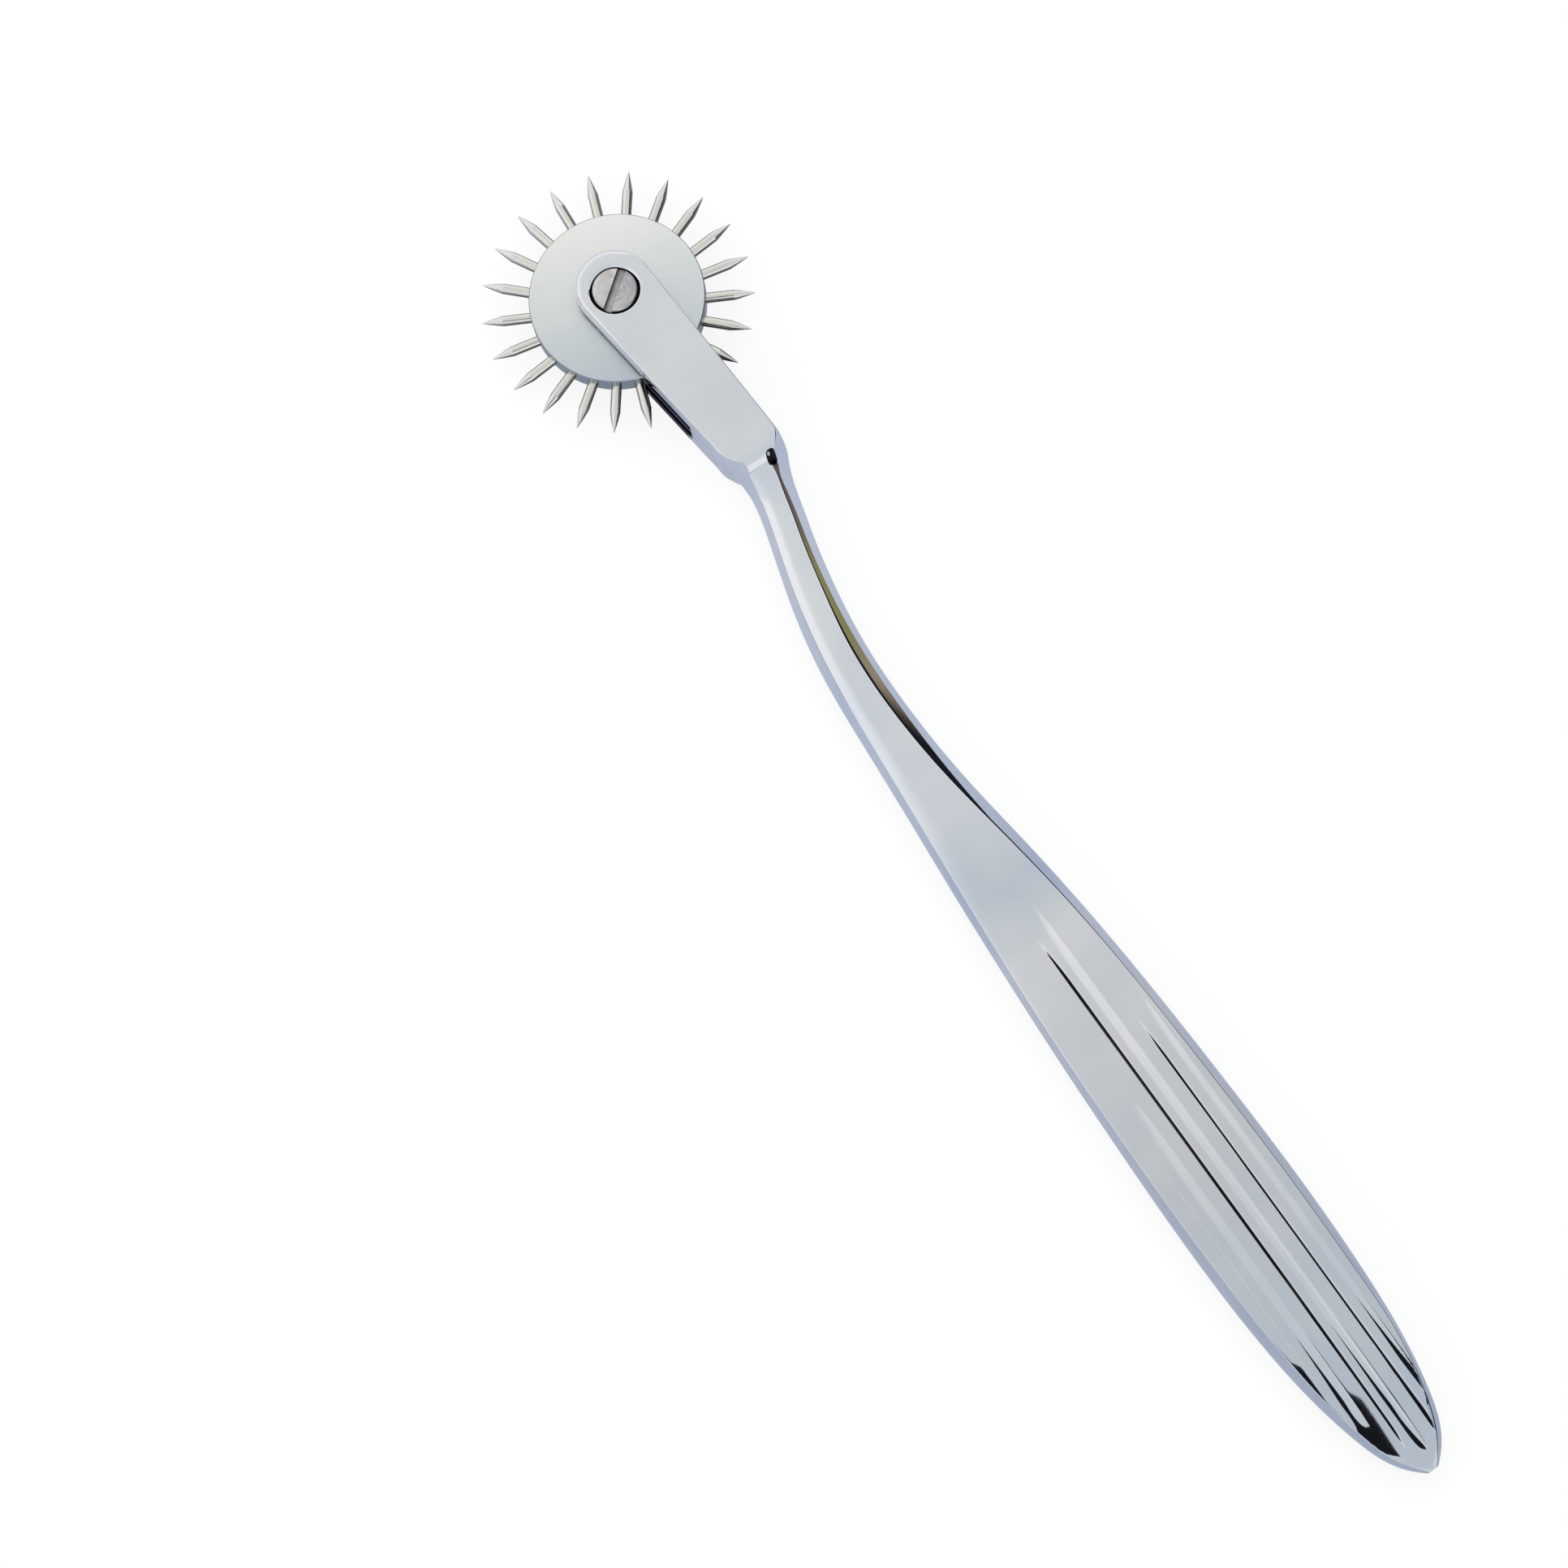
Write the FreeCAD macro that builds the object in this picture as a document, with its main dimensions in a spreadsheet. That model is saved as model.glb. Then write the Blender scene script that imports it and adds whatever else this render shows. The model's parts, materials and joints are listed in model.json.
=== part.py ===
import FreeCAD, Part
import math
import os
import Sketcher

# A hand-held pinwheel for testing feeling in the skin: a fork at the end of a swept polished
# handle carries a disc with sharp radial pins, which turns freely on a slotted shoulder screw.
# Lengths are in millimetres. The origin is on the wheel's axis, in the outer face of the rear
# ear. X runs along the grip to its tip, Z along the axle to the face with the screw's head.

SIZES = [
    # wheel
    ("disc_radius", 10.3, "radius of the plain disc"),
    ("disc_thickness", 3.0, "thickness of the disc at its rim"),
    ("rim_chamfer", 0.12, "broken edge of the rim"),
    ("hub_radius", 3.6, "radius of the raised hub on each face"),
    ("hub_side_clearance", 0.1, "running gap between a hub face and its ear"),
    ("pin_count", 22, "pins in the ring"),
    ("pin_radius", 0.61, "radius of a pin's plain shank"),
    ("pin_protrusion", 5.7, "from the rim to a pin's point"),
    ("pin_point_length", 2.45, "length of the ground point"),
    ("pin_point_curve", 30.0, "radius of the ground point's slight bulge"),
    ("pin_flat_radius", 0.05, "what the grinding leaves at the very tip"),
    ("pin_seat_depth", 3.4, "how deep a pin sits in the disc"),
    ("pin_fit", 0.01, "radial fit of a pin in its hole"),
    ("first_pin_angle", 11.8, "angle of the first pin from the grip's direction, in degrees"),
    ("ring_offset", 0.84, "the ring of pins is drilled this far off the disc's centre"),
    ("ring_offset_angle", -9.6, "direction of that offset at rest, in degrees"),
    # fork
    ("wheel_side_gap", 0.6, "between the disc's face and an ear"),
    ("ear_thickness", 2.2, "thickness of each ear"),
    ("nose_radius", 4.5, "round end of the ears"),
    ("nose_lead", 0.6, "the round end's centre lies this far ahead of the axle"),
    ("nose_rise", 0.2, "the round end's centre lies this far above the axle"),
    ("slot_reach", 18.2, "from the axle to the bottom of the slot"),
    ("block_reach", 26.2, "from the axle to the block's upper corner"),
    ("block_rise", 5.82, "height of the block's upper corner"),
    ("lower_corner_setback", 2.6, "the lower corner lies this far behind the upper one"),
    ("lower_corner_drop", 1.5, "drop of the block's lower corner"),
    ("shoulder_run", 3.4, "from the upper corner to the shoulders' ends inside the neck"),
    ("upper_shoulder_rise", 4.0, "height of the upper shoulder's end"),
    ("lower_shoulder_rise", 0.2, "height of the lower shoulder's end"),
    ("slope_setback", 1.0, "the faces start to slope this far behind the upper corner"),
    ("slope_run", 2.9, "length of the slopes, which end inside the neck"),
    ("slope_end_half", 1.4, "half thickness that the slopes run down to"),
    ("fork_edge_round", 0.3, "polished round on the fork's outer edges"),
    # axle screw
    ("axle_radius", 1.5, "shoulder that the wheel runs on"),
    ("axle_clearance", 0.05, "radial running clearance in the wheel's bore"),
    ("screw_fit", 0.02, "radial fit of the screw in the ears"),
    ("thread_radius", 1.25, "end that screws into the rear ear"),
    ("head_radius", 2.65, "radius of the screw's head"),
    ("head_height", 1.1, "height of the screw's head"),
    ("head_sink", 0.05, "the head's face lies this far below the ear's"),
    ("head_round", 0.12, "broken edge of the head"),
    ("ring_gap", 0.33, "open ring between the head and its counterbore"),
    ("driver_slot_width", 1.0, "width of the slot for a driver"),
    ("driver_slot_depth", 0.55, "depth of the slot for a driver"),
    ("driver_slot_angle", -53.0, "direction of the slot from the grip's, in degrees"),
    # neck and grip
    ("handle_reach", 163.3, "from the axle to the grip's tip"),
    ("grip_peak", 129.0, "from the axle to the grip's widest place"),
    ("neck_setback", 0.2, "the neck's first section lies this far behind the upper corner"),
    ("neck_rise", 2.25, "height of the neck's middle line at its first section"),
    ("neck_half_width", 2.62, "half width of the neck"),
    ("neck_half_thickness", 2.5, "half thickness of the neck"),
    ("grip_drop", 3.62, "drop of the grip's middle line below the axle"),
    ("tip_rise", 0.25, "the tip lies this far back up from the grip's middle line"),
    ("grip_half_width", 7.33, "half width of the grip at its widest"),
    ("grip_half_thickness", 3.4, "half thickness of the grip at its thickest"),
    ("crease_inset", 0.9, "from the outline to the crease that bounds a broad face"),
    ("face_crown", 0.3, "bulge of a broad face above its creases"),
    ("groove_pitch", 3.85, "between the middle lines of neighbouring grooves"),
    ("groove_radius", 2.0, "radius of a groove's hollow"),
    ("groove_depth", 0.36, "depth of a groove"),
    ("overrun", 1.0, "how far a cut runs past the faces it opens"),
]

# The swept part of the handle, from the block to the grip's widest place. Each row gives the
# place along it, the way down from the neck's line to the grip's, the growth in width and in
# thickness from the neck's to the grip's, and the depths of the middle groove and of the outer
# ones, all as shares. A depth below zero lies above the face, so that a groove fades in.
SWEEP_SHARES = [
    (0.000, 0.00, 0.03, 0.00, None, None),
    (0.039, 0.15, 0.02, 0.00, None, None),
    (0.087, 0.36, 0.00, 0.00, None, None),
    (0.155, 0.68, 0.04, 0.00, None, None),
    (0.233, 0.93, 0.09, 0.05, None, None),
    (0.330, 1.05, 0.155, 0.12, None, None),
    (0.427, 1.07, 0.29, 0.27, None, None),
    (0.524, 1.04, 0.505, 0.48, None, None),
    (0.621, 1.01, 0.69, 0.68, -0.40, None),
    (0.738, 1.00, 0.845, 0.85, 0.70, -0.40),
    (0.864, 1.00, 0.95, 0.96, 1.00, 0.70),
    (1.000, 1.00, 1.00, 1.00, 1.00, 1.00),
]

# The grip's end. Each row gives the place from the widest section to the tip, the width, the
# thickness and the depths of the middle groove and of the outer ones, all as shares.
END_SHARES = [
    (0.350, 0.955, 0.95, 1.00, 1.00),
    (0.610, 0.832, 0.83, 1.00, 0.70),
    (0.787, 0.665, 0.67, 1.00, -0.40),
    (0.904, 0.470, 0.49, 0.80, None),
    (0.971, 0.245, 0.30, -0.30, None),
    (1.000, 0.100, 0.16, None, None),
]

doc = FreeCAD.newDocument("pinwheel")
sheet = doc.addObject("Spreadsheet::Sheet", "Sizes")
for row, (alias, number, meaning) in enumerate(SIZES, start=1):
    sheet.set("A%d" % row, alias)
    sheet.set("B%d" % row, str(number))
    sheet.set("C%d" % row, meaning)
    sheet.setAlias("B%d" % row, alias)
doc.recompute()

# Sizes that follow from the sheet, as expressions.
SLOT_HALF = "(Sizes.disc_thickness / 2 + Sizes.wheel_side_gap)"
FORK_HALF = "(%s + Sizes.ear_thickness)" % SLOT_HALF
HUB_HALF = "(%s - Sizes.hub_side_clearance)" % SLOT_HALF
TIP_RADIUS = "(Sizes.disc_radius + Sizes.pin_protrusion)"
PIN_SEAT_RADIUS = "(Sizes.disc_radius - Sizes.pin_seat_depth)"
BORE_RADIUS = "(Sizes.axle_radius + Sizes.axle_clearance)"
HEAD_TOP = "(%s - Sizes.head_sink)" % FORK_HALF
HEAD_SEAT = "(%s - Sizes.head_height)" % HEAD_TOP
COUNTERBORE_RADIUS = "(Sizes.head_radius + Sizes.ring_gap)"
RING_X = "(Sizes.ring_offset * cos(Sizes.ring_offset_angle))"
RING_Y = "(Sizes.ring_offset * sin(Sizes.ring_offset_angle))"
LOWER_CORNER = "(Sizes.block_reach - Sizes.lower_corner_setback)"
SHOULDER_END = "(Sizes.block_reach + Sizes.shoulder_run)"
SLOPE_START = "(Sizes.block_reach - Sizes.slope_setback)"
NECK_START = "(Sizes.block_reach - Sizes.neck_setback)"


def size(expression):
    """The value of an expression of the sheet, as a plain number."""
    return float(sheet.evalExpression(expression))


def plane(body, role):
    """One of the origin planes or axes of a body, found by its role."""
    for feature in body.Origin.OriginFeatures:
        if feature.Role == role:
            return feature
    raise RuntimeError("no origin feature " + role)


def new_body(label):
    """A body on the fork's middle plane."""
    body = doc.addObject("PartDesign::Body", label)
    body.Label = label
    body.setExpression("Placement.Base.z", FORK_HALF)
    return body


def new_sketch(body, name, role, **offsets):
    """A sketch on an origin plane, moved off it by expressions for x, y and z."""
    sketch = body.newObject("Sketcher::SketchObject", name)
    sketch.AttachmentSupport = [(plane(body, role), "")]
    sketch.MapMode = "FlatFace"
    for axis, expression in offsets.items():
        sketch.setExpression("AttachmentOffset.Base." + axis, expression)
    return sketch


def dimension(sketch, name, kind, where, expression):
    """A named constraint whose value follows an expression."""
    index = sketch.addConstraint(Sketcher.Constraint(kind, *where, size(expression)))
    sketch.renameConstraint(index, name)
    sketch.setExpression("Constraints." + name, expression)


def coordinate(sketch, name, geometry, point, x, y):
    """Holds one point of the geometry at x and y; an x or y of zero puts it on that axis."""
    for axis, line, expression in (("X", -2, x), ("Y", -1, y)):
        if expression == "0":
            sketch.addConstraint(Sketcher.Constraint("PointOnObject", geometry, point, line))
        else:
            dimension(sketch, name + axis, "Distance" + axis, (-1, 1, geometry, point), expression)


def polygon(sketch, corners, name="p"):
    """A closed outline through corners given as pairs of expressions."""
    points = [FreeCAD.Vector(size(x), size(y), 0) for x, y in corners]
    first = sketch.GeometryCount
    for index, start in enumerate(points):
        sketch.addGeometry(Part.LineSegment(start, points[(index + 1) % len(points)]))
    for index, (x, y) in enumerate(corners):
        after = first + (index + 1) % len(points)
        sketch.addConstraint(Sketcher.Constraint("Coincident", first + index, 2, after, 1))
        coordinate(sketch, "%s%d" % (name, index + 1), first + index, 1, x, y)


def circle(sketch, radius):
    """A circle about the sketch's origin."""
    centre = FreeCAD.Vector(0, 0, 0)
    sketch.addGeometry(Part.Circle(centre, FreeCAD.Vector(0, 0, 1), size(radius)))
    sketch.addConstraint(Sketcher.Constraint("Coincident", 0, 3, -1, 1))
    dimension(sketch, "radius", "Radius", (0,), radius)


def revolve(body, kind, sketch, axis):
    """A full turn of a sketch about one of its own axes."""
    feature = body.newObject("PartDesign::" + kind, sketch.Name + "_turned")
    feature.Profile = sketch
    feature.ReferenceAxis = (sketch, [axis])
    feature.Angle = 360
    return feature


def pocket(body, sketch, through=False, length=None, reversed_cut=False):
    """A cut of a sketch, right through to both sides or to a length."""
    before = body.Shape.Volume
    feature = body.newObject("PartDesign::Pocket", sketch.Name + "_cut")
    feature.Profile = sketch
    if through:
        feature.Type = "ThroughAll"
        feature.Midplane = True
    else:
        feature.setExpression("Length", length)
        feature.Reversed = reversed_cut
    doc.recompute()
    if not feature.Shape.Volume < before:
        raise RuntimeError(sketch.Name + " cuts nothing")
    return feature


def arc_between(start, end, bulge):
    """The arc from start to end that stands off its chord's middle by the vector bulge."""
    middle = (start + end) * 0.5 + bulge
    return Part.ArcOfCircle(start, middle, end)


def chord_radius(half_chord, rise):
    """The radius of an arc over half a chord with a given rise, as an expression."""
    return "((%s ^ 2 + %s ^ 2) / (2 * %s))" % (half_chord, rise, rise)


def station_list():
    """Every section of neck and grip: place, middle line, half width, half thickness, scale
    of the edges, and the depths of the middle and outer grooves as shares or None."""
    stations = []
    for along, down, wide, thick, *grooves in SWEEP_SHARES:
        x = "(%s + %g * (Sizes.grip_peak - %s))" % (NECK_START, along, NECK_START)
        y = "(Sizes.neck_rise - %g * (Sizes.neck_rise + Sizes.grip_drop))" % down
        w = "(Sizes.neck_half_width + %g * (Sizes.grip_half_width - Sizes.neck_half_width))"
        d = "(Sizes.neck_half_thickness + %g * (Sizes.grip_half_thickness"
        d = d + " - Sizes.neck_half_thickness))"
        stations.append((x, y, w % wide, d % thick, 1, grooves))
    for along, wide, thick, *grooves in END_SHARES:
        x = "(Sizes.grip_peak + %g * (Sizes.handle_reach - Sizes.grip_peak))" % along
        y = "(%g * Sizes.tip_rise - Sizes.grip_drop)" % along ** 2
        w = "(%g * Sizes.grip_half_width)" % wide
        d = "(%g * Sizes.grip_half_thickness)" % thick
        stations.append((x, y, w, d, wide, grooves))
    return stations


def handle_section(body, name, station):
    """One section across the handle: two broad faces, slightly crowned, and two bulging
    sides, which meet at four creases."""
    x, y, half_width, half_thickness, edge, grooves = station
    inset = "(%g * Sizes.crease_inset)" % edge
    crown = "(%g * Sizes.face_crown)" % edge
    crease_y = "(%s - %s)" % (half_width, inset)
    crease_z = "(%s - %s)" % (half_thickness, crown)
    sketch = new_sketch(body, name, "YZ_Plane", x=y, z=x)
    a, b = size(crease_y), size(crease_z)
    corners = [FreeCAD.Vector(*p, 0) for p in ((a, b), (-a, b), (-a, -b), (a, -b))]
    up = FreeCAD.Vector(0, size(crown), 0)
    out = FreeCAD.Vector(size(inset), 0, 0)
    for index, bulge in enumerate((up, out * -1, up * -1, out)):
        sketch.addGeometry(arc_between(corners[index], corners[(index + 1) % 4], bulge))
    for index in range(4):
        sketch.addConstraint(Sketcher.Constraint("Coincident", index, 2, (index + 1) % 4, 1))
    sketch.addConstraint(Sketcher.Constraint("Symmetric", 0, 1, 0, 2, -2))
    sketch.addConstraint(Sketcher.Constraint("Symmetric", 0, 2, 1, 2, -1))
    sketch.addConstraint(Sketcher.Constraint("Symmetric", 2, 1, 2, 2, -2))
    coordinate(sketch, "crease", 0, 1, crease_y, crease_z)
    dimension(sketch, "face_radius", "Radius", (0,), chord_radius(crease_y, crown))
    dimension(sketch, "side_radius", "Radius", (1,), chord_radius(crease_z, inset))
    sketch.addConstraint(Sketcher.Constraint("Equal", 0, 2))
    sketch.addConstraint(Sketcher.Constraint("Equal", 1, 3))
    return sketch


def groove_section(body, name, station, side):
    """One round section of a groove's cutter, sunk into the broad face by its share."""
    x, y, half_width, half_thickness, edge, grooves = station
    spot = "(%d * Sizes.groove_pitch)" % side
    crease_y = "(%s - %g * Sizes.crease_inset)" % (half_width, edge)
    sag = "(%g * Sizes.face_crown * (%s / %s) ^ 2)" % (edge, spot, crease_y)
    depth = "(%g * Sizes.groove_depth)" % grooves[abs(side)]
    height = "(%s - %s - %s + Sizes.groove_radius)" % (half_thickness, sag, depth)
    sketch = new_sketch(body, name, "YZ_Plane", x="-Sizes.grip_drop + %s" % spot, y=height, z=x)
    circle(sketch, "Sizes.groove_radius")
    return sketch


def loft(body, kind, name, sections):
    """A smooth skin over a row of sections, added or taken away."""
    feature = body.newObject("PartDesign::" + kind, name)
    feature.Profile = sections[0]
    feature.Sections = sections[1:]
    feature.Ruled = False
    feature.Closed = False
    return feature


def faces_across(shape, axis):
    """Names of the flat faces that lie square to a direction."""
    names = []
    for index, face in enumerate(shape.Faces, start=1):
        if isinstance(face.Surface, Part.Plane) and abs(face.Surface.Axis.dot(axis)) > 0.999:
            names.append("Face%d" % index)
    return names


def make_fork_blank(body):
    """The fork before slotting: a flat plate with a round nose and two block corners."""
    sketch = new_sketch(body, "fork_outline", "XY_Plane")
    corners = [
        (LOWER_CORNER, "(-Sizes.lower_corner_drop)"),
        (SHOULDER_END, "Sizes.lower_shoulder_rise"),
        (SHOULDER_END, "Sizes.upper_shoulder_rise"),
        ("Sizes.block_reach", "Sizes.block_rise"),
    ]
    lead, rise, radius = [size("Sizes.nose_" + word) for word in ("lead", "rise", "radius")]
    top = FreeCAD.Vector(-lead, rise + radius, 0)
    tip = FreeCAD.Vector(-lead - radius, rise, 0)
    bottom = FreeCAD.Vector(-lead, rise - radius, 0)
    points = [bottom] + [FreeCAD.Vector(size(x), size(y), 0) for x, y in corners] + [top]
    sketch.addGeometry(Part.ArcOfCircle(top, tip, bottom))
    for start, end in zip(points, points[1:]):
        sketch.addGeometry(Part.LineSegment(start, end))
    for index in range(1, 5):
        sketch.addConstraint(Sketcher.Constraint("Coincident", index, 2, index + 1, 1))
    sketch.addConstraint(Sketcher.Constraint("Tangent", 0, 2, 1, 1))
    sketch.addConstraint(Sketcher.Constraint("Tangent", 5, 2, 0, 1))
    dimension(sketch, "nose_radius", "Radius", (0,), "Sizes.nose_radius")
    coordinate(sketch, "nose", 0, 3, "(-Sizes.nose_lead)", "Sizes.nose_rise")
    for index, (x, y) in enumerate(corners, start=2):
        coordinate(sketch, "corner%d" % index, index, 1, x, y)
    pad = body.newObject("PartDesign::Pad", "fork_blank")
    pad.Profile = sketch
    pad.Midplane = True
    pad.setExpression("Length", "2 * " + FORK_HALF)
    doc.recompute()
    edges = body.newObject("PartDesign::Fillet", "fork_edges")
    edges.Base = (pad, faces_across(pad.Shape, FreeCAD.Vector(0, 0, 1)))
    edges.setExpression("Radius", "Sizes.fork_edge_round")
    doc.recompute()


def cut_shoulder_slopes(body):
    """Both faces of the block slope down to the neck."""
    sketch = new_sketch(body, "shoulder_slopes", "XZ_Plane")
    far = "(%s + Sizes.overrun)" % SHOULDER_END
    above = "(%s + Sizes.overrun)" % FORK_HALF
    steep = "((%s - Sizes.slope_end_half) / Sizes.slope_run)" % FORK_HALF
    start = "(%s - Sizes.overrun / %s)" % (SLOPE_START, steep)
    end = "(%s + Sizes.slope_run)" % SLOPE_START
    front = [
        (end, "Sizes.slope_end_half"), (far, "Sizes.slope_end_half"), (far, above), (start, above),
    ]
    polygon(sketch, front, "front")
    polygon(sketch, [(x, "(-%s)" % z) for x, z in front], "rear")
    pocket(body, sketch, through=True)


def cut_fork(body):
    """The slot for the wheel and the holes for the axle screw."""
    slot = new_sketch(body, "wheel_slot", "XZ_Plane")
    open_end = "(-Sizes.nose_lead - Sizes.nose_radius - Sizes.overrun)"
    polygon(slot, [
        (open_end, "(-%s)" % SLOT_HALF),
        ("Sizes.slot_reach", "(-%s)" % SLOT_HALF),
        ("Sizes.slot_reach", SLOT_HALF),
        (open_end, SLOT_HALF),
    ])
    pocket(body, slot, through=True)
    top = "(%s + Sizes.overrun)" % FORK_HALF
    head_hole = new_sketch(body, "head_counterbore", "XY_Plane", z=top)
    circle(head_hole, COUNTERBORE_RADIUS)
    pocket(body, head_hole, length="%s - %s" % (top, HEAD_SEAT))
    shoulder_hole = new_sketch(body, "shoulder_hole", "XY_Plane", z=top)
    circle(shoulder_hole, "(Sizes.axle_radius + Sizes.screw_fit)")
    pocket(body, shoulder_hole, length=top)
    thread_hole = new_sketch(body, "thread_hole", "XY_Plane", z="(-%s)" % top)
    circle(thread_hole, "(Sizes.thread_radius + Sizes.screw_fit)")
    pocket(body, thread_hole, length=top, reversed_cut=True)


def make_handle():
    """Fork, neck and grip, forged in one piece and mirror polished."""
    body = new_body("handle")
    make_fork_blank(body)
    cut_shoulder_slopes(body)
    stations = station_list()
    sections = []
    for index, station in enumerate(stations, start=1):
        sections.append(handle_section(body, "section_%02d" % index, station))
    loft(body, "AdditiveLoft", "neck_and_grip", sections)
    doc.recompute()
    cut_fork(body)
    cutters = []
    for side in (-1, 0, 1):
        grooved = [station for station in stations if station[5][abs(side)] is not None]
        rings = []
        for index, station in enumerate(grooved, start=1):
            name = "groove_%d_ring_%02d" % (side + 2, index)
            rings.append(groove_section(body, name, station, side))
        cutters.append(loft(body, "SubtractiveLoft", "groove_%d" % (side + 2), rings))
        doc.recompute()
    back = body.newObject("PartDesign::Mirrored", "back_grooves")
    back.Originals = cutters
    back.MirrorPlane = (plane(body, "XY_Plane"), [""])
    body.Tip = back
    doc.recompute()
    return body


def pin_angle(index):
    """The direction of a pin, as an expression in degrees."""
    return "(Sizes.first_pin_angle + %d * 360 / Sizes.pin_count)" % index


def turn_to_pin(body, index):
    """Turns a body of the wheel so that its X axis lies along a pin."""
    body.Placement.Rotation = FreeCAD.Rotation(FreeCAD.Vector(0, 0, 1), 1)
    body.setExpression("Placement.Rotation.Angle", pin_angle(index))


def make_wheel_disc():
    """The turned disc with a low hub on each face, its bore and the ring of pin holes, whose
    centre lies a little off the disc's own."""
    body = new_body("wheel_disc")
    turn_to_pin(body, 0)
    rim = "(Sizes.disc_radius - Sizes.rim_chamfer)"
    face = "(Sizes.disc_thickness / 2)"
    edge = "(%s - Sizes.rim_chamfer)" % face
    outline = [
        (BORE_RADIUS, HUB_HALF), ("Sizes.hub_radius", HUB_HALF), ("Sizes.hub_radius", face),
        (rim, face), ("Sizes.disc_radius", edge),
    ]
    lower = [(x, "(-%s)" % z) for x, z in reversed(outline)]
    profile = new_sketch(body, "disc_profile", "XZ_Plane")
    polygon(profile, outline + lower)
    revolve(body, "Revolution", profile, "V_Axis")
    doc.recompute()
    turned = "(Sizes.ring_offset_angle - Sizes.first_pin_angle)"
    along = "(Sizes.ring_offset * cos(%s))" % turned
    across = "(Sizes.ring_offset * sin(%s))" % turned
    centre = new_sketch(body, "ring_centre", "XY_Plane", x=along, y=across)
    circle(centre, PIN_SEAT_RADIUS)
    hole = new_sketch(body, "pin_hole", "XZ_Plane", x=along, z="(-%s)" % across)
    bottom = "(%s - Sizes.ring_offset)" % PIN_SEAT_RADIUS
    beyond = "(Sizes.disc_radius + Sizes.ring_offset + Sizes.overrun)"
    wall = "(Sizes.pin_radius + Sizes.pin_fit)"
    polygon(hole, [(bottom, "0"), (beyond, "0"), (beyond, wall), (bottom, wall)])
    cut = revolve(body, "Groove", hole, "H_Axis")
    doc.recompute()
    ring = body.newObject("PartDesign::PolarPattern", "pin_hole_ring")
    ring.Originals = [cut]
    ring.Axis = (centre, ["N_Axis"])
    ring.Angle = 360
    ring.setExpression("Occurrences", "Sizes.pin_count")
    body.Tip = ring
    doc.recompute()
    return body


def make_pin(index):
    """One hardened pin, seated in the disc and ground to a slightly bulging point. It points
    away from the ring's centre, and its place along its hole brings it to the tip circle."""
    body = new_body("pin_%02d" % (index + 1))
    turn_to_pin(body, index)
    angle = pin_angle(index)
    along = "(Sizes.ring_offset * cos(%s - Sizes.ring_offset_angle))" % angle
    across = "(Sizes.ring_offset * sin(%s - Sizes.ring_offset_angle))" % angle
    shift = "(sqrt(%s ^ 2 - %s ^ 2) - %s - %s)" % (TIP_RADIUS, across, TIP_RADIUS, along)
    body.setExpression("Placement.Base.x", "%s + %s * cos(%s)" % (RING_X, shift, angle))
    body.setExpression("Placement.Base.y", "%s + %s * sin(%s)" % (RING_Y, shift, angle))
    shank_end = "(%s - Sizes.pin_point_length)" % TIP_RADIUS
    sketch = new_sketch(body, "pin_%02d_profile" % (index + 1), "XZ_Plane")
    corners = [
        (PIN_SEAT_RADIUS, "0"), (TIP_RADIUS, "0"), (TIP_RADIUS, "Sizes.pin_flat_radius"),
        (shank_end, "Sizes.pin_radius"), (PIN_SEAT_RADIUS, "Sizes.pin_radius"),
    ]
    points = [FreeCAD.Vector(size(x), size(y), 0) for x, y in corners]
    chord = points[3] - points[2]
    curve = size("Sizes.pin_point_curve")
    rise = curve - math.sqrt(curve ** 2 - (chord.Length / 2) ** 2)
    outward = FreeCAD.Vector(chord.y, -chord.x, 0).normalize() * rise
    for start, end in zip(points, points[1:] + points[:1]):
        if start is points[2]:
            sketch.addGeometry(arc_between(start, end, outward))
        else:
            sketch.addGeometry(Part.LineSegment(start, end))
    for line, (x, y) in enumerate(corners):
        after = (line + 1) % len(corners)
        sketch.addConstraint(Sketcher.Constraint("Coincident", line, 2, after, 1))
        coordinate(sketch, "corner%d" % (line + 1), line, 1, x, y)
    dimension(sketch, "point_curve", "Radius", (2,), "Sizes.pin_point_curve")
    revolve(body, "Revolution", sketch, "H_Axis")
    doc.recompute()
    return body


def make_axle_screw():
    """The slotted shoulder screw: its head lies in the front ear, its end in the rear one."""
    body = new_body("axle_screw")
    head_edge = "(Sizes.head_radius - Sizes.head_round)"
    profile = new_sketch(body, "screw_profile", "XZ_Plane")
    polygon(profile, [
        ("0", "(-%s)" % FORK_HALF),
        ("Sizes.thread_radius", "(-%s)" % FORK_HALF),
        ("Sizes.thread_radius", "(-%s)" % SLOT_HALF),
        ("Sizes.axle_radius", "(-%s)" % SLOT_HALF),
        ("Sizes.axle_radius", HEAD_SEAT),
        ("Sizes.head_radius", HEAD_SEAT),
        ("Sizes.head_radius", "(%s - Sizes.head_round)" % HEAD_TOP),
        (head_edge, HEAD_TOP),
        ("0", HEAD_TOP),
    ])
    revolve(body, "Revolution", profile, "V_Axis")
    doc.recompute()
    slot = new_sketch(body, "driver_slot", "XY_Plane", z=HEAD_TOP)
    slot.AttachmentOffset.Rotation = FreeCAD.Rotation(FreeCAD.Vector(0, 0, 1), 1)
    slot.setExpression("AttachmentOffset.Rotation.Angle", "Sizes.driver_slot_angle")
    reach = "(Sizes.head_radius + Sizes.overrun)"
    half = "(Sizes.driver_slot_width / 2)"
    polygon(slot, [
        ("(-%s)" % reach, "(-%s)" % half), (reach, "(-%s)" % half),
        (reach, half), ("(-%s)" % reach, half),
    ])
    pocket(body, slot, length="Sizes.driver_slot_depth")
    return body


pieces = [make_handle(), make_wheel_disc(), make_axle_screw()]
for number in range(int(size("Sizes.pin_count"))):
    pieces.append(make_pin(number))
doc.recompute()

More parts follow.
